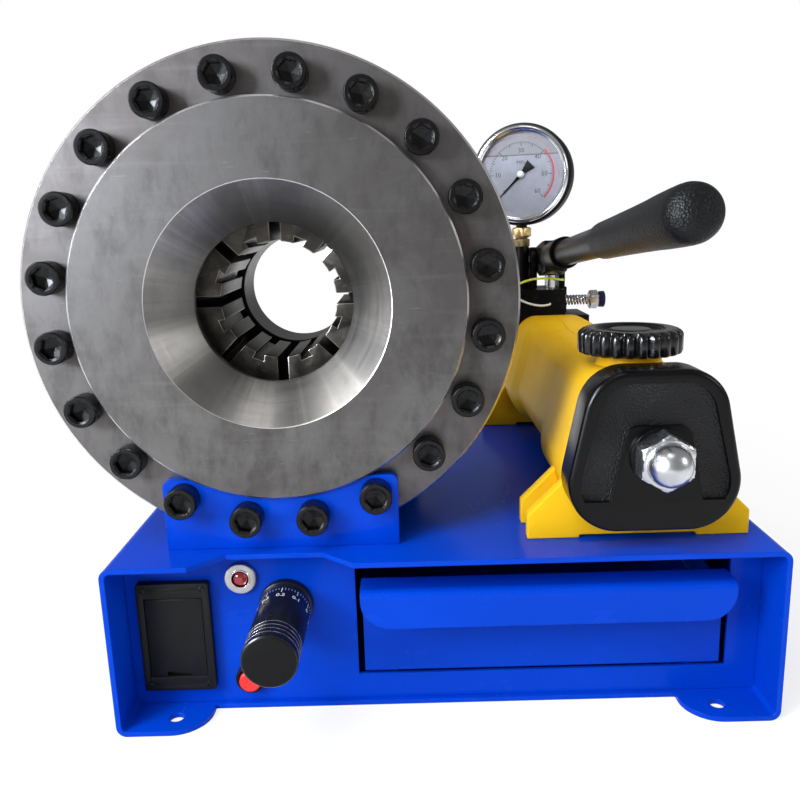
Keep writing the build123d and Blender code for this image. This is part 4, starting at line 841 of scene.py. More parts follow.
class CrimperColours(bpy.types.PropertyGroup):
    """Colours of the dressed machine."""

    base: bpy.props.FloatVectorProperty(
        name="Base paint", description="Paint of the sheet-metal base", default=(0.0, 0.053, 0.58),
        size=3, subtype="COLOR", min=0, max=1,
    )
    tank: bpy.props.FloatVectorProperty(
        name="Tank paint", description="Paint of the oil tank", default=(0.92, 0.53, 0.012),
        size=3, subtype="COLOR", min=0, max=1,
    )


class PieceOperator:
    """Shared by the operators: each makes its pieces and reports that it is done."""

    bl_options = {"REGISTER", "UNDO"}

    def execute(self, context):
        self.make(context.scene.crimper_sizes)
        return {"FINISHED"}


# ------------------------------------------------------------------ stage
CAMERA_AT = Vector((-0.02332, -0.74851, 0.3752))
CAMERA_PITCH = math.radians(12.576)
CAMERA_YAW = math.radians(-0.519)
CAMERA_ROLL = math.radians(-1.771)
CAMERA_LENS = 36.24
SENSOR_WIDTH = 36.0
WHITE = (1.0, 1.0, 1.0)
LIGHTS = (
    # name, place, aim, size, watts, colour, seen in reflections, lights rough surfaces
    ("key", (-0.95, -1.25, 1.95), (-0.05, 0, 0.2), 1.2, 28.0, WHITE, False, True),
    ("daylight", (-1.5, -1.35, 0.95), (-0.2, -0.1, 0.3), 0.9, 34.0, (0.92, 0.96, 1.0), False, True),
    ("window", (-1.55, -1.4, 0.88), (-0.2, -0.15, 0.3), 0.8, 108.0, (0.84, 0.91, 1.0), True, False),
    ("wedge", (-1.15, -0.7, 1.2), (-0.1, -0.15, 0.3), 0.4, 14.0, WHITE, True, False),
    ("overhead", (-0.1, -0.75, 2.1), (-0.1, -0.1, 0.2), 0.8, 4.5, WHITE, True, False),
    ("side", (-2.0, -0.8, 0.4), (-0.1, -0.15, 0.3), 0.6, 12.0, WHITE, True, False),
    ("fill", (1.7, -0.9, 1.0), (0.0, 0, 0.25), 0.7, 6.0, WHITE, True, True),
    ("back", (0.6, 1.6, 1.4), (0.0, 0.0, 0.2), 1.3, 12.0, WHITE, False, True),
)


class CRIMPER_OT_stage(PieceOperator, bpy.types.Operator):
    """Camera, soft lights, pale floor and white background"""

    bl_idname = "crimper.stage"
    bl_label = "Stage"

    def make(self, sizes):
        scene = bpy.context.scene
        scene.view_settings.view_transform = "Standard"
        data = bpy.data.cameras.new("camera")
        data.lens = CAMERA_LENS
        data.sensor_width = SENSOR_WIDTH
        data.clip_start = 0.02
        camera = bpy.data.objects.new("camera", data)
        scene.collection.objects.link(camera)
        ahead = Vector((
            math.sin(CAMERA_YAW) * math.cos(CAMERA_PITCH),
            math.cos(CAMERA_YAW) * math.cos(CAMERA_PITCH),
            -math.sin(CAMERA_PITCH),
        ))
        right = Vector((math.cos(CAMERA_YAW), -math.sin(CAMERA_YAW), 0))
        up = right.cross(ahead)
        rolled = right * math.cos(CAMERA_ROLL) + up * math.sin(CAMERA_ROLL)
        upright = up * math.cos(CAMERA_ROLL) - right * math.sin(CAMERA_ROLL)
        camera.matrix_world = Matrix((
            (rolled.x, upright.x, -ahead.x, CAMERA_AT.x),
            (rolled.y, upright.y, -ahead.y, CAMERA_AT.y),
            (rolled.z, upright.z, -ahead.z, CAMERA_AT.z),
            (0, 0, 0, 1),
        ))
        scene.camera = camera
        for row in LIGHTS:
            self.light(*row)
        world = bpy.data.worlds.new("studio")
        scene.world = world
        world.use_nodes = True
        world.node_tree.nodes.clear()
        g = Graph(world.node_tree)
        path = g.add("ShaderNodeLightPath")
        through = g.output_of(path, "Is Transmission Ray")
        seen = g.output_of(path, "Is Camera Ray").math("MAXIMUM", through)
        strength = seen * 0.45 + 0.55 - g.output_of(path, "Is Glossy Ray") * (1.0 - seen) * 0.25
        background = g.add("ShaderNodeBackground", {}, {"Color": (1, 1, 1, 1), "Strength": strength})
        g.add("ShaderNodeOutputWorld", {}, {"Surface": background})
        self.floor()

    def light(self, name, at, towards, size, watts, colour, glossy, diffuse):
        lamp = bpy.data.lights.new(name, "AREA")
        lamp.shape = "DISK"
        lamp.size = size
        lamp.energy = watts
        lamp.color = colour
        made = bpy.data.objects.new(name, lamp)
        bpy.context.scene.collection.objects.link(made)
        made.visible_glossy = glossy
        made.visible_diffuse = diffuse
        made.location = at
        made.rotation_euler = (Vector(towards) - Vector(at)).to_track_quat("-Z", "Y").to_euler()

    def floor(self):
        count, far = 48, 9.0
        angles = [TURN * i / count for i in range(count)]
        mesh = bpy.data.meshes.new("floor")
        mesh.from_pydata(
            [(far * math.cos(a), far * math.sin(a), 0) for a in angles], [], [list(range(count))],
        )
        floor = link(mesh, "floor")
        material = bpy.data.materials.new("pale_floor")
        material.use_nodes = True
        material.node_tree.nodes.clear()
        g = Graph(material.node_tree)
        where = g.add("ShaderNodeTexCoord", out="Object")
        grain = g.add("ShaderNodeTexNoise", {}, {"Vector": where, "Scale": 3.0, "Detail": 4.0})
        matt = g.add(
            "ShaderNodeBsdfDiffuse", {}, {"Color": (0.9, 0.9, 0.9, 1), "Roughness": grain * 0.2 + 0.6}
        )
        glow = g.add("ShaderNodeEmission", {}, {"Color": (1, 1, 1, 1), "Strength": 1.0})
        path = g.add("ShaderNodeLightPath")
        seen = g.output_of(path, "Is Camera Ray")
        away = g.add("ShaderNodeVectorMath", {"operation": "LENGTH"}, [where], out="Value")
        away = away.step(0.3, 1.1)
        soft = g.add("ShaderNodeMixShader", {}, {0: seen * (away * 0.3 + 0.7), 1: matt, 2: glow})
        g.add("ShaderNodeOutputMaterial", {}, {"Surface": soft})
        mesh.materials.append(material)


# ------------------------------------------------------------------ base and drawer
class CRIMPER_OT_base(PieceOperator, bpy.types.Operator):
    """Blue sheet-metal base, recessed panels, drawer and its runners"""

    bl_idname = "crimper.base"
    bl_label = "Base and drawer"

    def make(self, sizes):
        for node in ("base_shell", "front_panel", "rear_panel", "drawer_runners", "drawer_tray"):
            dress(node, "blue_enamel")
        self.weld_beads()

    def weld_beads(self):
        """Small fillet welds where the head's bracket stands on the top plate."""
        beads = []
        low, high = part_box("head_bracket")
        rng = random.Random(4)
        top = BASE_HIGH.z
        for x in (low.x + 0.004, high.x - 0.004):
            path = []
            for i in range(12):
                t = i / 11
                stray = rng.uniform(-0.0003, 0.0003)
                path.append((x + stray, low.y + 0.0005 + t * 0.009, top + 0.0004))
            ripple = lambda t: 0.0013 + 0.0003 * math.sin(t * 40)
            beads.append(tube("bead", path, ripple, "blue_enamel", 8))
        bead = join("bracket_welds", beads)
        fit(bead, "base", slot="blue_paint")


class CRIMPER_OT_controls(PieceOperator, bpy.types.Operator):
    """Control module, indicator lamp, stop button and the long adjusting knob"""

    bl_idname = "crimper.controls"
    bl_label = "Controls"

    def make(self, sizes):
        ease("control_module", "base", "black_plastic", 0.0007, "module_black")
        ease("module_cover", "module_door", "black_plastic", 0.0005, "module_black")
        self.module_screws()
        self.lamp()
        self.button()
        self.knob()

    def module_screws(self):
        low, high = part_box("module_screws")
        screws = []
        for x in (low.x + 0.0023, high.x - 0.0023):
            for z in (low.z + 0.0023, high.z - 0.0023):
                screws.append(turned(
                    "module_screw", (x, z),
                    [
                        (low.y + 0.003, 0.0012), (low.y + 0.0006, 0.0012), (low.y + 0.0006, 0.0023),
                        (low.y + 0.0003, 0.0023), (low.y, 0.0017), (low.y, 0.0009),
                        (low.y + 0.0006, 0.0007, hexagon), (low.y + 0.0009, 0.0),
                    ],
                    "black_oxide", count=24,
                ))
        fit(join("module_screw_set", screws), "base", "module_screws", slot="black_oxide")

    def lamp(self):
        at = middle("lamp_bezel")
        seat = PANEL_Y
        ring = turned(
            "lamp_ring", (at.x, at.z),
            [
                (seat + 0.024, 0.008), (seat, 0.008), (seat, 0.0124), (seat - 0.0022, 0.0125),
                (seat - 0.0032, 0.0118), (seat - 0.0035, 0.0106), (seat - 0.0036, 0.0078),
                (seat - 0.004, 0.0074), (seat - 0.004, 0.0068), (seat - 0.0030, 0.0064),
                (seat - 0.001, 0.0060), (seat + 0.0015, 0.0059),
            ],
            ["satin_alloy", "chrome", "black_satin"], spans=[2, 2, 0, 0, 0, 0, 1, 1, 1, 2, 2], count=72,
            caps=(True, True),
        )
        fit(ring, "base", "lamp_bezel", slot="satin_metal")
        low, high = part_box("lamp_lens")
        radius = (high.x - low.x) / 2
        arcs = [t * math.pi / 12 for t in range(1, 6)]
        dome = [(low.y + 0.003 - 0.003 * math.sin(t), radius * math.cos(t) * 0.97) for t in arcs]
        lens = turned(
            "lamp_lens_dressed", ((low.x + high.x) / 2, (low.z + high.z) / 2),
            [(high.y, radius * 0.98), (low.y + 0.003, radius), *dome, (low.y, 0.0)],
            "red_lens", count=48,
        )
        fit(lens, "base", "lamp_lens", slot="red_lens")

    def button(self):
        low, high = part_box("button_bezel")
        at = (low + high) / 2
        bezel = turned(
            "button_bezel_dressed", (at.x, at.z),
            [
                (high.y, 0.0042), (high.y, 0.007), (PANEL_Y, 0.007), (PANEL_Y, 0.0119),
                (low.y + 0.0012, 0.012), (low.y + 0.0003, 0.0114), (low.y, 0.0105),
                (low.y + 0.0004, 0.0094), (low.y + 0.001, 0.0091), (PANEL_Y - 0.001, 0.0091),
                (PANEL_Y - 0.001, 0.0042),
            ],
            "black_satin", count=64, loop=True,
        )
        fit(bezel, "base", "button_bezel", slot="black_plastic")
        low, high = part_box("stop_button")
        button = turned(
            "stop_button_dressed", (at.x, at.z),
            [
                (high.y, 0.004), (low.y + 0.0047, 0.004), (low.y + 0.0046, 0.0083),
                (low.y + 0.0044, 0.0085), (low.y + 0.0016, 0.0085), (low.y + 0.0008, 0.0083),
                (low.y + 0.0002, 0.0076), (low.y, 0.0066), (low.y + 0.0003, 0.0045),
                (low.y + 0.0004, 0.0),
            ],
            "red_button", count=64,
        )
        fit(button, "button", "stop_button", slot="red_plastic")

    def knob(self):
        at = middle("adjust_knob")
        low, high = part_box("adjust_knob")
        radius = (high.x - low.x) / 2
        collar_low, collar_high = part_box("knob_collar")
        collar_radius = (collar_high.x - collar_low.x) / 2
        panel = collar_low.y + 0.0065
        collar = turned(
            "knob_collar_ring", (at.x, at.z),
            [
                (panel, 0.0061), (panel, collar_radius), (collar_low.y + 0.0016, collar_radius),
                (collar_low.y + 0.0006, collar_radius - 0.0003),
                (collar_low.y, collar_radius - 0.0013), (collar_low.y, 0.0061),
            ],
            "knob_black", count=96, loop=True,
        )
        block = turned(
            "knob_block", (at.x, at.z),
            [
                (panel + 0.003, 0.0061), (panel + 0.003, 0.013), (collar_high.y - 0.0006, 0.013),
                (collar_high.y, 0.0124), (collar_high.y, 0.0061),
            ],
            "satin_alloy", count=64, loop=True,
        )
        fit(join("knob_collar_dressed", [collar, block]), "base", "knob_collar", slot="black_oxide")
        stations = [(low.y, 0.0), (low.y, radius - 0.0024), (low.y + 0.0003, radius - 0.0012),
                    (low.y + 0.0012, radius - 0.0002), (low.y + 0.0024, radius)]
        spans = [1, 1, 0, 0]
        for groove in range(4):
            y = low.y + 0.006 + groove * 0.005
            stations += [
                (y - 0.0011, radius), (y - 0.0008, radius - 0.00015), (y - 0.0006, radius - 0.0010),
                (y + 0.0006, radius - 0.0010), (y + 0.0008, radius - 0.00015), (y + 0.0011, radius),
            ]
            spans += [0, 2, 0, 0, 0, 2]
        stations += [
            (high.y - 0.0028, radius), (high.y - 0.0026, radius - 0.0006),
            (high.y - 0.0016, radius - 0.0006), (high.y - 0.0014, radius),
            (high.y - 0.0004, radius), (high.y, radius - 0.0008), (high.y, 0.006),
        ]
        spans += [0, 0, 0, 0, 0, 2, 0, 0][: len(stations) - 1 - len(spans)]
        knob = turned(
            "adjust_knob_body", (at.x, at.z), stations, ["knob_black", "black_satin", "knob_edge"],
            spans=spans, count=128, caps=(False, True),
        )
        marks = []
        for k in range(10):
            angle = (2 - k) * math.radians(36)
            label = "0" if k == 0 else f"0.{k}"
            text = lettering("digit", label, 0.0058, "white_ink", 0.00008)
            marks.append(self.wrap(text, at, high.y - 0.0178, radius, angle))
            marks.append(self.wrap(self.tick(0.00045, 0.0062), at, high.y - 0.0098, radius, angle))
            for fine in range(1, 5):
                aside = angle - fine * math.radians(7.2)
                marks.append(self.wrap(self.tick(0.00022, 0.0026), at, high.y - 0.0080, radius, aside))
        scale = join("adjust_knob_scale", marks)
        fit(knob, "knob", "adjust_knob", slot="black_oxide")
        fit(scale, "knob", slot="black_oxide")

    def tick(self, width, length):
        """Thin bar of ink, flat in X-Y."""
        mesh = bpy.data.meshes.new("tick")
        w, h, t = width / 2, length / 2, 0.00008
        mesh.from_pydata(
            [(x, y, z) for z in (-t, t) for x, y in ((-w, -h), (w, -h), (w, h), (-w, h))], [],
            [(3, 2, 1, 0), (4, 5, 6, 7), (0, 1, 5, 4), (1, 2, 6, 5), (2, 3, 7, 6), (3, 0, 4, 7)],
        )
        mesh.materials.append(finish("white_ink"))
        return link(mesh, "tick")

    def wrap(self, made, at, y, radius, angle):
        """Lays a flat mark on the knob's round side, its top towards the rear."""
        for vertex in made.data.vertices:
            across, along, out = vertex.co
            turn = angle + across / radius
            far = radius + out
            vertex.co = (at.x + far * math.sin(turn), y + along, at.z + far * math.cos(turn))
        return made


# ------------------------------------------------------------------ crimping head
class CRIMPER_OT_cover(PieceOperator, bpy.types.Operator):
    """Front cover of the head, with its boss and the polished lead-in cone"""

    bl_idname = "crimper.cover"
    bl_label = "Head cover"

    def make(self, sizes):
        low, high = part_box("front_cover")
        rim = (high.x - low.x) / 2
        face = low.y + 0.0134
        profile = [
            (high.y, 0.064), (high.y, 0.083), (face + 0.025, 0.083), (face + 0.025, rim),
            (face + 0.0015, rim), (face, rim - 0.0015), (face, 0.1427), (low.y + 0.0013, 0.1425),
            (low.y, 0.1411), (low.y, 0.0884), (low.y + 0.0003, 0.0879), (low.y + 0.0006, 0.0876),
            (low.y + 0.0289, 0.0593), (low.y + 0.0293, 0.059), (low.y + 0.0335, 0.059),
            (low.y + 0.0335, 0.064),
        ]
        # finish 2 paints the chamfers bright, as painted highlight lines
        spans = [3, 3, 3, 3, 2, 0, 3, 2, 1, 2, 4, 4, 4, 3, 3, 3]
        cover = turned(
            "front_cover_turned", (HEAD.x, HEAD.z), profile,
            ["cover_ground", "boss_ground", "edge_bright", "barrel_turned", "cone_polished"],
            spans=spans, count=sizes.round_steps, soft=20, loop=True,
        )
        fit(cover, "base", "front_cover", slot="ground_steel")


class CRIMPER_OT_barrel(PieceOperator, bpy.types.Operator):
    """Barrel, rear cover, piston and the brackets that carry the head"""

    bl_idname = "crimper.barrel"
    bl_label = "Barrel and brackets"

    def make(self, sizes):
        dress("head_barrel", "barrel_turned")
        dress("crimp_piston", "piston_steel")
        # the rear cover gets steel painted nearly black, as painted shade inside the bore
        ease("rear_cover", "base", "turned_steel", 0.0005, "rear_steel")
        ease("head_bracket", "base", "blue_paint", 0.0011, "blue_enamel", segments=3)
        ease("rear_bracket", "base", "blue_paint", 0.0011, "blue_enamel", segments=3)


class CRIMPER_OT_screws(PieceOperator, bpy.types.Operator):
    """Socket-head cap screws of the head's two covers"""

    bl_idname = "crimper.screws"
    bl_label = "Cap screws"

    def make(self, sizes):
        step = TURN / 20
        circle = 0.158
        unit = cap_screw_unit("cover_screw", sizes.screw_head, 0.016, 0.014, sizes.screw_knurls)
        low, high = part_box("cover_screws")
        seat = low.y + 0.016
        ring = repeat(
            "cover_screw_ring", unit, 16, circle, 17.5 * step, step, (HEAD.x, seat, HEAD.z),
            "black_oxide", 1.0, 3,
        )
        fit(ring, "base", "cover_screws", slot="black_oxide")
        low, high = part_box("bracket_screws")
        row = repeat(
            "bracket_screw_row", unit, 4, circle, 13.5 * step, step, (HEAD.x, low.y + 0.016, HEAD.z),
            "black_oxide", 1.0, 9,
        )
        fit(row, "base", "bracket_screws", slot="black_oxide")
        drop(unit)
        unit = cap_screw_unit("rear_screw", 0.009, 0.012, 0.010, 32)
        low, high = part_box("rear_screws")
        seat = high.y - 0.012
        rear = repeat(
            "rear_screw_ring", unit, 12, 0.149, 0.0, TURN / 12, (0, 0, 0), "black_oxide", 1.0, 5
        )
        drop(unit)
        move(rear, Matrix.Translation((HEAD.x, seat, HEAD.z)) @ Matrix.Rotation(math.pi, 4, "Z"))
        fit(rear, "base", "rear_screws", slot="black_oxide")


class CRIMPER_OT_dies(PieceOperator, bpy.types.Operator):
    """The eight master dies, their rounded edges in brighter metal than their faces"""

    bl_idname = "crimper.dies"
    bl_label = "Dies"

    def make(self, sizes):
        for k in range(1, 9):
            die = eased(f"master_die_{k}", f"die_{k}_dressed", sizes.edge, "die_black", "die_edge")
            fit(die, f"die_{k}", f"master_die_{k}", slot="die_steel")


# ------------------------------------------------------------------ pump
def tank_shape(inset=0.0):
    """Corners of the tank's section: a trapezoid with large rounded corners."""
    low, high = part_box("pump_tank")
    x = (low.x + high.x) / 2
    bottom, top = 0.152 + inset, 0.263 - inset
    return rounded(
        [
            (x - 0.067 + inset, bottom, 0.034), (x + 0.067 - inset, bottom, 0.034),
            (x + 0.038 - inset, top, 0.024), (x - 0.038 + inset, top, 0.024),
        ],
        12,
    )


PUMP_X = middle("pump_tank").x


class CRIMPER_OT_tank(PieceOperator, bpy.types.Operator):
    """Yellow oil tank, its feet, neck and fluted filler cap"""

    bl_idname = "crimper.tank"
    bl_label = "Oil tank"

    def make(self, sizes):
        low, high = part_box("pump_tank")
        front, rear = low.y, high.y
        waist = 0.005
        sections = [
            (front, tank_shape(0.0008)), (front + 0.0008, tank_shape(0.0)),
            (front + 0.090, tank_shape(0.0)), (front + 0.093, tank_shape(0.0003)),
            (front + 0.114, tank_shape(waist - 0.0003)), (front + 0.1175, tank_shape(waist)),
            (rear - 0.0835, tank_shape(waist)), (rear - 0.080, tank_shape(waist - 0.0003)),
            (rear - 0.060, tank_shape(0.0003)), (rear - 0.057, tank_shape(0.0)),
            (rear - 0.0008, tank_shape(0.0)), (rear, tank_shape(0.0008)),
        ]
        body = loft("pump_tank_body", sections, "yellow_paint", soft=9)
        at = middle("filler_cap")
        top = high.z
        neck = lathe(
            "tank_neck", (at.x, at.y, 0), (0, 0, 1),
            [
                (0.2605, 0.0252), (0.2632, 0.0252), (0.2645, 0.0246), (0.2655, 0.0240),
                (top - 0.0006, 0.0240), (top, 0.0234), (top, 0.017), (0.254, 0.017),
            ],
            "yellow_paint", count=72, caps=(True, True),
        )
        line = []
        for i in range(19):
            y = front + 0.001 + i * 0.018
            line.append((PUMP_X - 0.0003, y, 0.2631 - self.waist_drop(y, front, rear)))
        seam = tube("tank_seam", line, 0.0004, "yellow_paint", 6)
        tank = join("pump_tank_dressed", [body, neck, seam])
        fit(tank, "base", "pump_tank", slot="yellow_paint")
        for node in ("front_foot", "saddle_feet"):
            ease(node, "base", "yellow_paint", 0.0012, "yellow_paint", segments=3)
        self.filler(sizes)
        self.cap()
        self.nut()

    def waist_drop(self, y, front, rear):
        """How far the waist sinks the tank's top at a station."""
        if y < front + 0.092 or y > rear - 0.058:
            return 0.0
        if y < front + 0.116:
            return 0.005 * (y - front - 0.092) / 0.024
        if y > rear - 0.082:
            return 0.005 * (rear - 0.058 - y) / 0.024
        return 0.005

    def filler(self, sizes):
        low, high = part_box("filler_cap")
        at = middle("filler_cap")
        radius = (high.x - low.x) / 2
        base = 0.2713
        tooth = flutes(sizes.cap_flutes, 0.0034)
        slim = flutes(sizes.cap_flutes, 0.0030)
        cap = lathe(
            "filler_cap_dressed", (at.x, at.y, 0), (0, 0, 1),
            [
                (low.z, 0.0155), (low.z + 0.0012, 0.0168), (base, 0.0168), (base, 0.030),
                (base + 0.0002, radius - 0.0024, slim), (base + 0.0010, radius - 0.0008, tooth),
                (base + 0.0024, radius, tooth), (high.z - 0.0052, radius, tooth),
                (high.z - 0.0034, radius - 0.0006, tooth), (high.z - 0.0018, radius - 0.0022, slim),
                (high.z - 0.0008, radius - 0.0048), (high.z - 0.0004, radius - 0.0085),
                (high.z - 0.0004, radius - 0.0120), (high.z - 0.0012, radius - 0.0132),
                (high.z - 0.0024, radius - 0.0140), (high.z - 0.0026, 0.016),
                (high.z - 0.0014, 0.0148), (high.z - 0.0012, 0.0135), (high.z - 0.0012, 0.0),
            ],
            "black_gloss", count=sizes.cap_flutes * 10, soft=50, caps=(True, False),
        )
        fit(cap, "filler", "filler_cap", slot="black_plastic")

    def cap(self):
        """The end cap, with grained leather set in its sunk band."""
        cap = eased("end_cap", "end_cap_dressed", 0.0014, "cap_gloss", segments=3)
        cap.data.materials.append(finish("black_leather"))
        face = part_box("end_cap")[0].y + 0.003
        for side in cap.data.polygons:
            if side.normal.y < -0.95 and face + 0.0032 < side.center.y < face + 0.0048:
                side.material_index = 1
        fit(cap, "base", "end_cap", slot="black_plastic")

    def nut(self):
        at = middle("acorn_nut")
        low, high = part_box("acorn_nut")
        seat = high.y - 0.003
        flats = 0.018
        dome_base = seat - 0.018
        profile = [
            (seat, 0.0102), (seat, flats * 0.99), (seat - 0.0008, flats, hexagon),
            (dome_base + 0.0022, flats, hexagon),
            (dome_base + 0.0012, flats * 0.995, self.soft_hexagon), (dome_base, flats * 0.965),
            (dome_base, 0.0160), (dome_base - 0.0006, 0.0153), (low.y + 0.0150, 0.0150),
        ]
        for t in range(1, 10):
            a = t * math.pi / 18
            profile.append((low.y + 0.0150 - 0.0150 * math.sin(a), 0.0150 * math.cos(a)))
        profile[-1] = (low.y + 0.0001, 0.0022)
        profile.append((low.y, 0.0))
        nut = turned(
            "acorn_nut_dressed", (at.x, at.z), profile, "zinc", count=120, soft=24, caps=(True, False)
        )
        washer = turned(
            "washer_rim", (at.x, at.z),
            [
                (seat + 0.003, 0.0103), (seat + 0.003, 0.0208), (seat + 0.0026, 0.021),
                (seat + 0.0005, 0.021), (seat, 0.0206), (seat, 0.0103),
            ],
            "cap_gloss", count=96, loop=True,
        )
        fit(join("acorn_nut_set", [nut, washer]), "base", "acorn_nut", slot="zinc_steel")

    def soft_hexagon(self, angle, radius):
        """Hexagon with its corners turned off."""
        return min(hexagon(angle, radius), radius * 1.085)


LEAD_RADIUS = 0.00125
# routes of the two leads, in millimetres
EARTH_ROUTE = (
    (164.9, 218, 301), (164.9, 205, 301), (155.9, 190, 303), (140.4, 178, 306), (118.4, 176.5, 305),
    (98, 181, 295), (94, 190, 273), (95, 191, 237.3), (95, 190, 182.7), (95, 190, 136),
)
SIGNAL_ROUTE = (
    (144.4, 182, 276), (144.4, 175.5, 276), (132.4, 173.5, 274.5), (116.4, 175, 278),
    (99, 178, 288), (90.8, 186, 278), (90.3, 190.5, 260), (91.3, 189.5, 229.3), (90.8, 190, 182.7),
    (90.8, 190, 136),
)


class CRIMPER_OT_pump(PieceOperator, bpy.types.Operator):
    """Pump block, plunger, lever, grip, release valve and oil pipe"""

    bl_idname = "crimper.pump"
    bl_label = "Pump and lever"

    def make(self, sizes):
        ease("pump_block", "base", "black_paint", 0.0012, "pump_black", segments=2)
        ease("lever_yoke", "lever", "black_paint", 0.0010, "pump_black")
        pin = middle("pivot_pin")
        low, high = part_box("pivot_pin")
        reach = high.x - low.x
        pivot = lathe(
            "pivot_pin_dressed", (low.x, pin.y, pin.z), (1, 0, 0),
            [
                (0.0, 0.0048), (0.0006, 0.006), (reach - 0.004, 0.006), (reach - 0.004, 0.0088),
                (reach - 0.0034, 0.009), (reach - 0.0008, 0.009), (reach - 0.0002, 0.0084),
                (reach, 0.0074), (reach, 0.004, hexagon), (reach - 0.002, 0.0038, hexagon),
                (reach - 0.0022, 0.0),
            ],
            "black_oxide", count=48, caps=(True, False),
        )
        fit(pivot, "base", "pivot_pin", slot="black_oxide")
        for node, look in (("link_pin", "zinc"), ("pump_plunger", "chrome"), ("tie_rod", "zinc")):
            dress(node, look)
        self.lever()
        self.release(sizes)
        for node in ("oil_pipe", "pipe_nuts"):
            dress(node, "zinc")
        dress("adjust_spindle", "satin_alloy")
        self.leads()

    def leads(self):
        """Two switch leads, from the ear and the block's face down to the base."""
        for name, look, points in (
            ("earth_lead", "lead_yellow", EARTH_ROUTE), ("signal_lead", "lead_white", SIGNAL_ROUTE),
        ):
            curve = bpy.data.curves.new(name + "_wire", "CURVE")
            curve.dimensions = "3D"
            curve.bevel_depth = LEAD_RADIUS
            curve.bevel_resolution = 4
            curve.resolution_u = 10
            spline = curve.splines.new("NURBS")
            spline.points.add(len(points) - 1)
            for spot, point in zip(spline.points, points):
                spot.co = (*(c / 1000 for c in point), 1)
            spline.order_u = 3
            spline.use_endpoint_u = True
            curve.materials.append(finish(look))
            wire = bpy.data.objects.new(name + "_wire", curve)
            bpy.context.scene.collection.objects.link(wire)
            fit(wire, "base", name, slot=look)
            [c / 1000 for c in points[0]]
            self.run(curve)

    def run(self, curve):
        """Length of a curve's own line."""
        bare = curve.copy()
        bare.bevel_depth = 0.0
        shown = bpy.data.objects.new("run", bare)
        bpy.context.scene.collection.objects.link(shown)
        line = bpy.data.meshes.new_from_object(shown)
        spots = [vertex.co for vertex in line.vertices]
        total = sum((spots[a] - spots[b]).length for a, b in (e.vertices for e in line.edges))
        bpy.data.objects.remove(shown)
        return total

    def lever(self):
        pin = middle("pivot_pin")
        at = Vector((PUMP_X, pin.y, pin.z))
        rise = math.radians(5.7)
        along = Vector((0, -math.cos(rise), math.sin(rise)))
        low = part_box("lever_grip")[0]
        tip = (at.y - low.y) / math.cos(rise) - 0.0003
        start = 0.062
        tube_piece = lathe(
            "lever_tube_dressed", at, along,
            [
                (start, 0.0134), (start + 0.0005, 0.0135), (start + 0.344, 0.0135),
                (start + 0.345, 0.0132),
            ],
            "tube_dark", count=64,
        )
        fit(tube_piece, "lever", "lever_tube", slot="dark_tube")
        heel = start + 0.345 - 0.120
        grip = lathe(
            "lever_grip_dressed", at, along,
            [
                (heel, 0.0136), (heel, 0.0150), (heel + 0.0006, 0.0155), (heel + 0.002, 0.0158),
                (heel + 0.05, 0.01625), (heel + 0.10, 0.0169), (heel + 0.14, 0.0176),
                (heel + 0.162, 0.0183), (tip - 0.036, 0.0187), (tip - 0.022, 0.0188),
                (tip - 0.0145, 0.0186), (tip - 0.0105, 0.0179), (tip - 0.0072, 0.0166),
                (tip - 0.0045, 0.0147), (tip - 0.0025, 0.0120), (tip - 0.0012, 0.0088),
                (tip - 0.0004, 0.0050), (tip - 0.0001, 0.0022), (tip, 0.0),
            ],
            "grip_rubber", count=80, soft=60, caps=(True, False),
        )
        fit(grip, "lever", "lever_grip", slot="black_rubber")

    def release(self, sizes):
        low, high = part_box("release_rod")
        rod = middle("release_rod")
        reach = high.x - low.x
        rod_piece = lathe(
            "release_rod_dressed", (low.x, rod.y, rod.z), (1, 0, 0),
            [
                (0, 0.0026), (0.0005, 0.003), (reach - 0.0022, 0.003), (reach - 0.0016, 0.0024),
                (reach, 0.0022),
            ],
            "zinc", count=32,
        )
        fit(rod_piece, "release", "release_rod", slot="zinc_steel")
        low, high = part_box("release_knob")
        length = high.x - low.x
        knob = lathe(
            "release_knob_dressed", (low.x, rod.y, rod.z), (1, 0, 0),
            [
                (0.0, 0.0031), (0.0, 0.0090), (0.0008, 0.0093, hexagon),
                (length * 0.52, 0.0093, hexagon), (length * 0.56, 0.0088), (length * 0.58, 0.0070),
                (length * 0.62, 0.0068), (length * 0.66, 0.0092), (length - 0.0012, 0.0094),
                (length - 0.0003, 0.0086), (length, 0.0074), (length, 0.0031),
            ],
            ["zinc", "knob_blue"], spans=[0, 0, 0, 0, 0, 0, 1, 1, 1, 1, 1], count=48, caps=(True, True),
        )
        fit(knob, "release", "release_knob", slot="chrome_steel")
        low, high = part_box("release_spring")
        turns = sizes.spring_turns
        wire = 0.0011
        coil = 0.0060 - wire
        path = []
        steps = turns * 20
        for i in range(steps + 1):
            t = i / steps
            x = low.x + wire + t * (high.x - low.x - 2 * wire)
            a = t * turns * TURN
            path.append((x, rod.y + coil * math.cos(a), rod.z + coil * math.sin(a)))
        spring = tube("release_spring_coil", path, wire, "chrome", 10)
        fit(spring, "base", "release_spring", slot="zinc_steel")
        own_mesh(spring)


# ------------------------------------------------------------------ gauge
GAUGE_TURN = math.radians(-16)
GAUGE_BACK = Vector((-math.sin(GAUGE_TURN), math.cos(GAUGE_TURN), 0))
GAUGE_AT = middle("gauge_bezel") - GAUGE_BACK * 0.0045


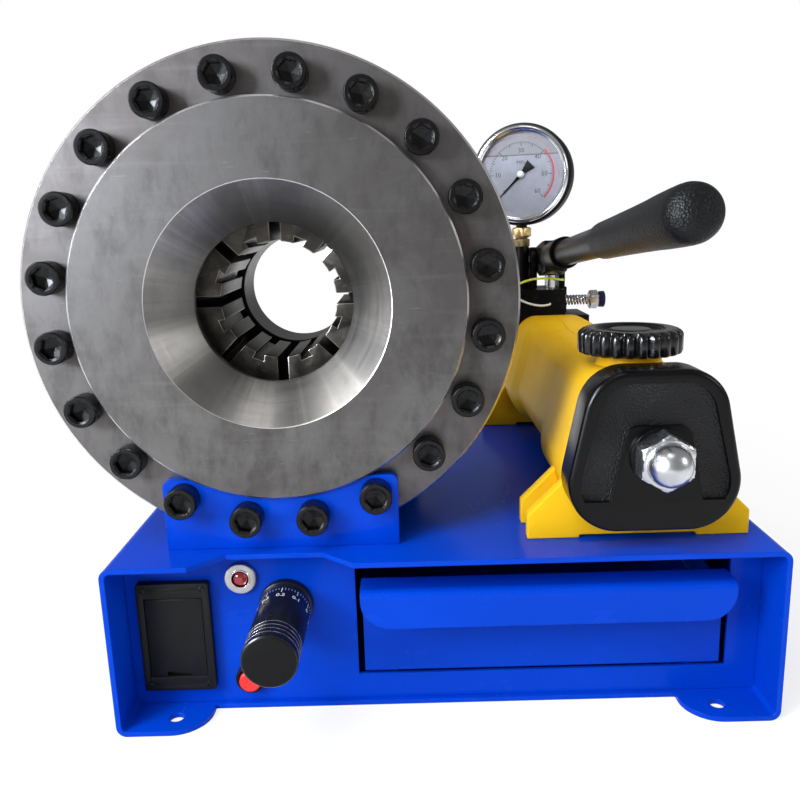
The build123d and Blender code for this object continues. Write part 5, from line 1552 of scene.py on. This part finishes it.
class CRIMPER_OT_gauge(PieceOperator, bpy.types.Operator):
    """Pressure gauge: chrome bezel, printed dial, needle, glass, rubber boot and brass fitting"""

    bl_idname = "crimper.gauge"
    bl_label = "Gauge"

    def make(self, sizes):
        bezel = self.ring(
            "gauge_bezel_dressed",
            [
                (0.009, 0.0491), (0.009, 0.0549), (0.0034, 0.055), (0.0018, 0.0547),
                (0.0006, 0.0539), (0.0, 0.0526), (0.0002, 0.0513), (0.0010, 0.0503),
                (0.0020, 0.0500), (0.0024, 0.0494), (0.0030, 0.0486), (0.0030, 0.0491),
            ],
            "chrome", loop=True,
        )
        fit(bezel, "base", "gauge_bezel", slot="chrome_steel")
        glass = self.ring(
            "gauge_glass_dressed",
            [(0.005, 0.0), (0.005, 0.0489), (0.0032, 0.0489), (0.0030, 0.044), (0.0029, 0.0)], "glass",
            caps=(False, False),
        )
        fit(glass, "base", "gauge_glass", slot="clear_glass")
        self.dial()
        self.needle()
        boot = self.ring(
            "gauge_boot_dressed",
            [
                (0.0093, 0.0528), (0.0093, 0.0569), (0.0097, 0.0577), (0.0104, 0.0582),
                (0.0118, 0.0584), (0.0150, 0.0583), (0.0165, 0.0577), (0.0180, 0.0583),
                (0.043, 0.0584), (0.0465, 0.0578), (0.049, 0.0566), (0.0506, 0.0548),
                (0.0514, 0.0528), (0.0516, 0.049), (0.0516, 0.036), (0.0509, 0.034), (0.0509, 0.0),
                (0.0492, 0.0), (0.0492, 0.0526),
            ],
            "boot_rubber", caps=(False, False), soft=40,
        )
        tidy(boot.data, 40)
        fit(boot, "base", "gauge_boot", slot="black_rubber")
        dress("gauge_case", "black_satin")
        self.fitting()

    def ring(self, name, profile, look, **how):
        """A turned piece on the gauge's own axis, with distance 0 at the bezel's face."""
        return self.set(turned(name, (0, 0), profile, look, count=128, **how))

    def set(self, made):
        """Moves a piece made about the origin onto the gauge's axis."""
        return move(made, Matrix.Translation(GAUGE_AT) @ Matrix.Rotation(GAUGE_TURN, 4, "Z"))

    def dial(self):
        face_y = 0.0078
        plate = turned(
            "dial_plate", (0, 0),
            [(0.0089, 0.0), (0.0089, 0.0489), (face_y, 0.0489), (face_y, 0.0)], "dial_face", count=96,
            caps=(False, False),
        )
        prints = []

        def ray(angle, inner, outer, width, look):
            mesh = bpy.data.meshes.new("mark")
            c, s, half = math.cos(angle), math.sin(angle), width / 2
            corners = []
            for y in (face_y + 0.0001, face_y - 0.00012):
                for r, w in ((inner, -half), (outer, -half), (outer, half), (inner, half)):
                    corners.append((r * c - w * s, y, r * s + w * c))
            mesh.from_pydata(corners, [], [
                (0, 1, 2, 3), (7, 6, 5, 4), (0, 4, 5, 1), (1, 5, 6, 2), (2, 6, 7, 3), (3, 7, 4, 0),
            ])
            mesh.materials.append(finish(look))
            return link(mesh, "mark")

        def arc(inner, outer, start, end, look, steps=40):
            sunk, proud = face_y + 0.0001, face_y - 0.00014
            mesh = bpy.data.meshes.new("arc")
            corners, faces = [], []
            for i in range(steps + 1):
                a = start + (end - start) * i / steps
                for r, y in ((inner, sunk), (outer, sunk), (outer, proud), (inner, proud)):
                    corners.append((r * math.cos(a), y, r * math.sin(a)))
                if i:
                    for k in range(4):
                        m = (k + 1) % 4
                        faces.append(((i - 1) * 4 + k, (i - 1) * 4 + m, i * 4 + m, i * 4 + k))
            faces += [(3, 2, 1, 0), (steps * 4, steps * 4 + 1, steps * 4 + 2, steps * 4 + 3)]
            mesh.from_pydata(corners, [], faces)
            mesh.materials.append(finish(look))
            tidy(mesh)
            return link(mesh, "arc")

        def write(words, size, x, z):
            text = lettering("number", words, size, "black_ink", 0.0001)
            upright = Matrix.Rotation(math.pi / 2, 4, "X")
            return move(text, Matrix.Translation((x, face_y - 0.00005, z)) @ upright)

        zero, full = math.radians(225), math.radians(-45)
        prints.append(arc(0.0366, 0.0369, full, zero, "black_ink"))
        prints.append(arc(0.0430, 0.0432, full, zero, "red_ink"))
        prints.append(arc(0.0372, 0.0388, full, math.radians(45), "red_ink"))
        for k in range(61):
            angle = zero - math.radians(4.5) * k
            length = 0.0044 if k % 10 == 0 else (0.0032 if k % 5 == 0 else 0.0019)
            prints.append(ray(angle, 0.0366 - length, 0.0366, 0.0005 if k % 5 else 0.0008, "black_ink"))
            if k % 5 == 0:
                prints.append(ray(angle, 0.0432, 0.0452, 0.0005, "red_ink"))
        for k in range(7):
            angle = zero - math.radians(45) * k
            x, z = 0.0272 * math.cos(angle), 0.0272 * math.sin(angle)
            prints.append(write(str(k * 10), 0.0074, x, z))
        prints.append(write("MPa", 0.0062, 0, 0.0135))
        dial = join("gauge_dial_dressed", [plate, *prints])
        self.set(dial)
        fit(dial, "base", "gauge_dial", slot="dial_white")

    def needle(self):
        lean = math.radians(225)
        along = Vector((math.cos(lean), 0, math.sin(lean)))
        side = Vector((-along.z, 0, along.x))
        outline = [
            (0.0395, 0.0003), (0.012, 0.0012), (0.004, 0.0019), (-0.004, 0.0021), (-0.010, 0.0027),
            (-0.0165, 0.0060),
        ]
        rim = [along * d + side * w for d, w in outline]
        rim += [along * d - side * w for d, w in reversed(outline)]
        rings = [[p + Vector((0, y, 0)) for p in rim] for y in (0.0071, 0.0064)]
        blade = skin("needle_blade", rings, "black_gloss", soft=30)
        hub = turned(
            "needle_hub", (0, 0),
            [
                (0.0077, 0.0), (0.0077, 0.0026), (0.0060, 0.0026), (0.0056, 0.0040),
                (0.0052, 0.0040), (0.0051, 0.0036), (0.0051, 0.0),
            ],
            "satin_alloy", count=40, caps=(False, False),
        )
        needle = join("gauge_needle_dressed", [blade, hub])
        self.set(needle)
        fit(needle, "needle", "gauge_needle", slot="needle_black")

    def fitting(self):
        at = middle("gauge_fitting")
        low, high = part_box("gauge_fitting")
        flats = 0.0105
        brass = lathe(
            "gauge_fitting_brass", (at.x, at.y, 0), (0, 0, 1),
            [
                (low.z + 0.0105, 0.0060), (low.z + 0.0105, 0.0092), (low.z + 0.0112, 0.0100),
                (low.z + 0.0125, flats, hexagon), (high.z - 0.0016, flats, hexagon),
                (high.z - 0.0006, 0.0104), (high.z, 0.0092), (high.z, 0.0060),
            ],
            "brass", count=72, soft=25, caps=(True, True),
        )
        lower = lathe(
            "gauge_fitting_nut", (at.x, at.y, 0), (0, 0, 1),
            [
                (low.z, 0.0060), (low.z, 0.0086), (low.z + 0.0006, 0.0090, hexagon),
                (low.z + 0.0085, 0.0090, hexagon), (low.z + 0.0092, 0.0084),
                (low.z + 0.0094, 0.0070), (low.z + 0.0106, 0.0070),
            ],
            "brass_dark", count=72, soft=25, caps=(True, True),
        )
        fit(join("gauge_fitting_dressed", [brass, lower]), "base", "gauge_fitting", slot="brass")


class CRIMPER_PT_panel(bpy.types.Panel):
    """Sidebar panel that lists the machine's pieces"""

    bl_idname = "CRIMPER_PT_panel"
    bl_label = "Hose crimping machine"
    bl_space_type = "VIEW_3D"
    bl_region_type = "UI"
    bl_category = "Crimper"

    def draw(self, context):
        for name in ("crimper_sizes", "crimper_colours"):
            group = getattr(context.scene, name)
            box = self.layout.box()
            for key in group.bl_rna.properties.keys():
                if key not in ("rna_type", "name"):
                    box.prop(group, key)
        for operator in PIECES:
            self.layout.operator(operator.bl_idname, text=operator.bl_label)


PIECES = (
    CRIMPER_OT_base, CRIMPER_OT_controls, CRIMPER_OT_cover, CRIMPER_OT_barrel, CRIMPER_OT_screws,
    CRIMPER_OT_dies, CRIMPER_OT_tank, CRIMPER_OT_pump, CRIMPER_OT_gauge, CRIMPER_OT_stage,
)
CLASSES = (CrimperSizes, CrimperColours, *PIECES, CRIMPER_PT_panel)


def register():
    for cls in CLASSES:
        bpy.utils.register_class(cls)
    bpy.types.Scene.crimper_sizes = bpy.props.PointerProperty(type=CrimperSizes)
    bpy.types.Scene.crimper_colours = bpy.props.PointerProperty(type=CrimperColours)


def unregister():
    del bpy.types.Scene.crimper_colours
    del bpy.types.Scene.crimper_sizes
    for cls in reversed(CLASSES):
        bpy.utils.unregister_class(cls)


def main():
    register()
    for operator in PIECES:
        group, name = operator.bl_idname.split(".")
        getattr(getattr(bpy.ops, group), name)()


if __name__ == "__main__":
    main()
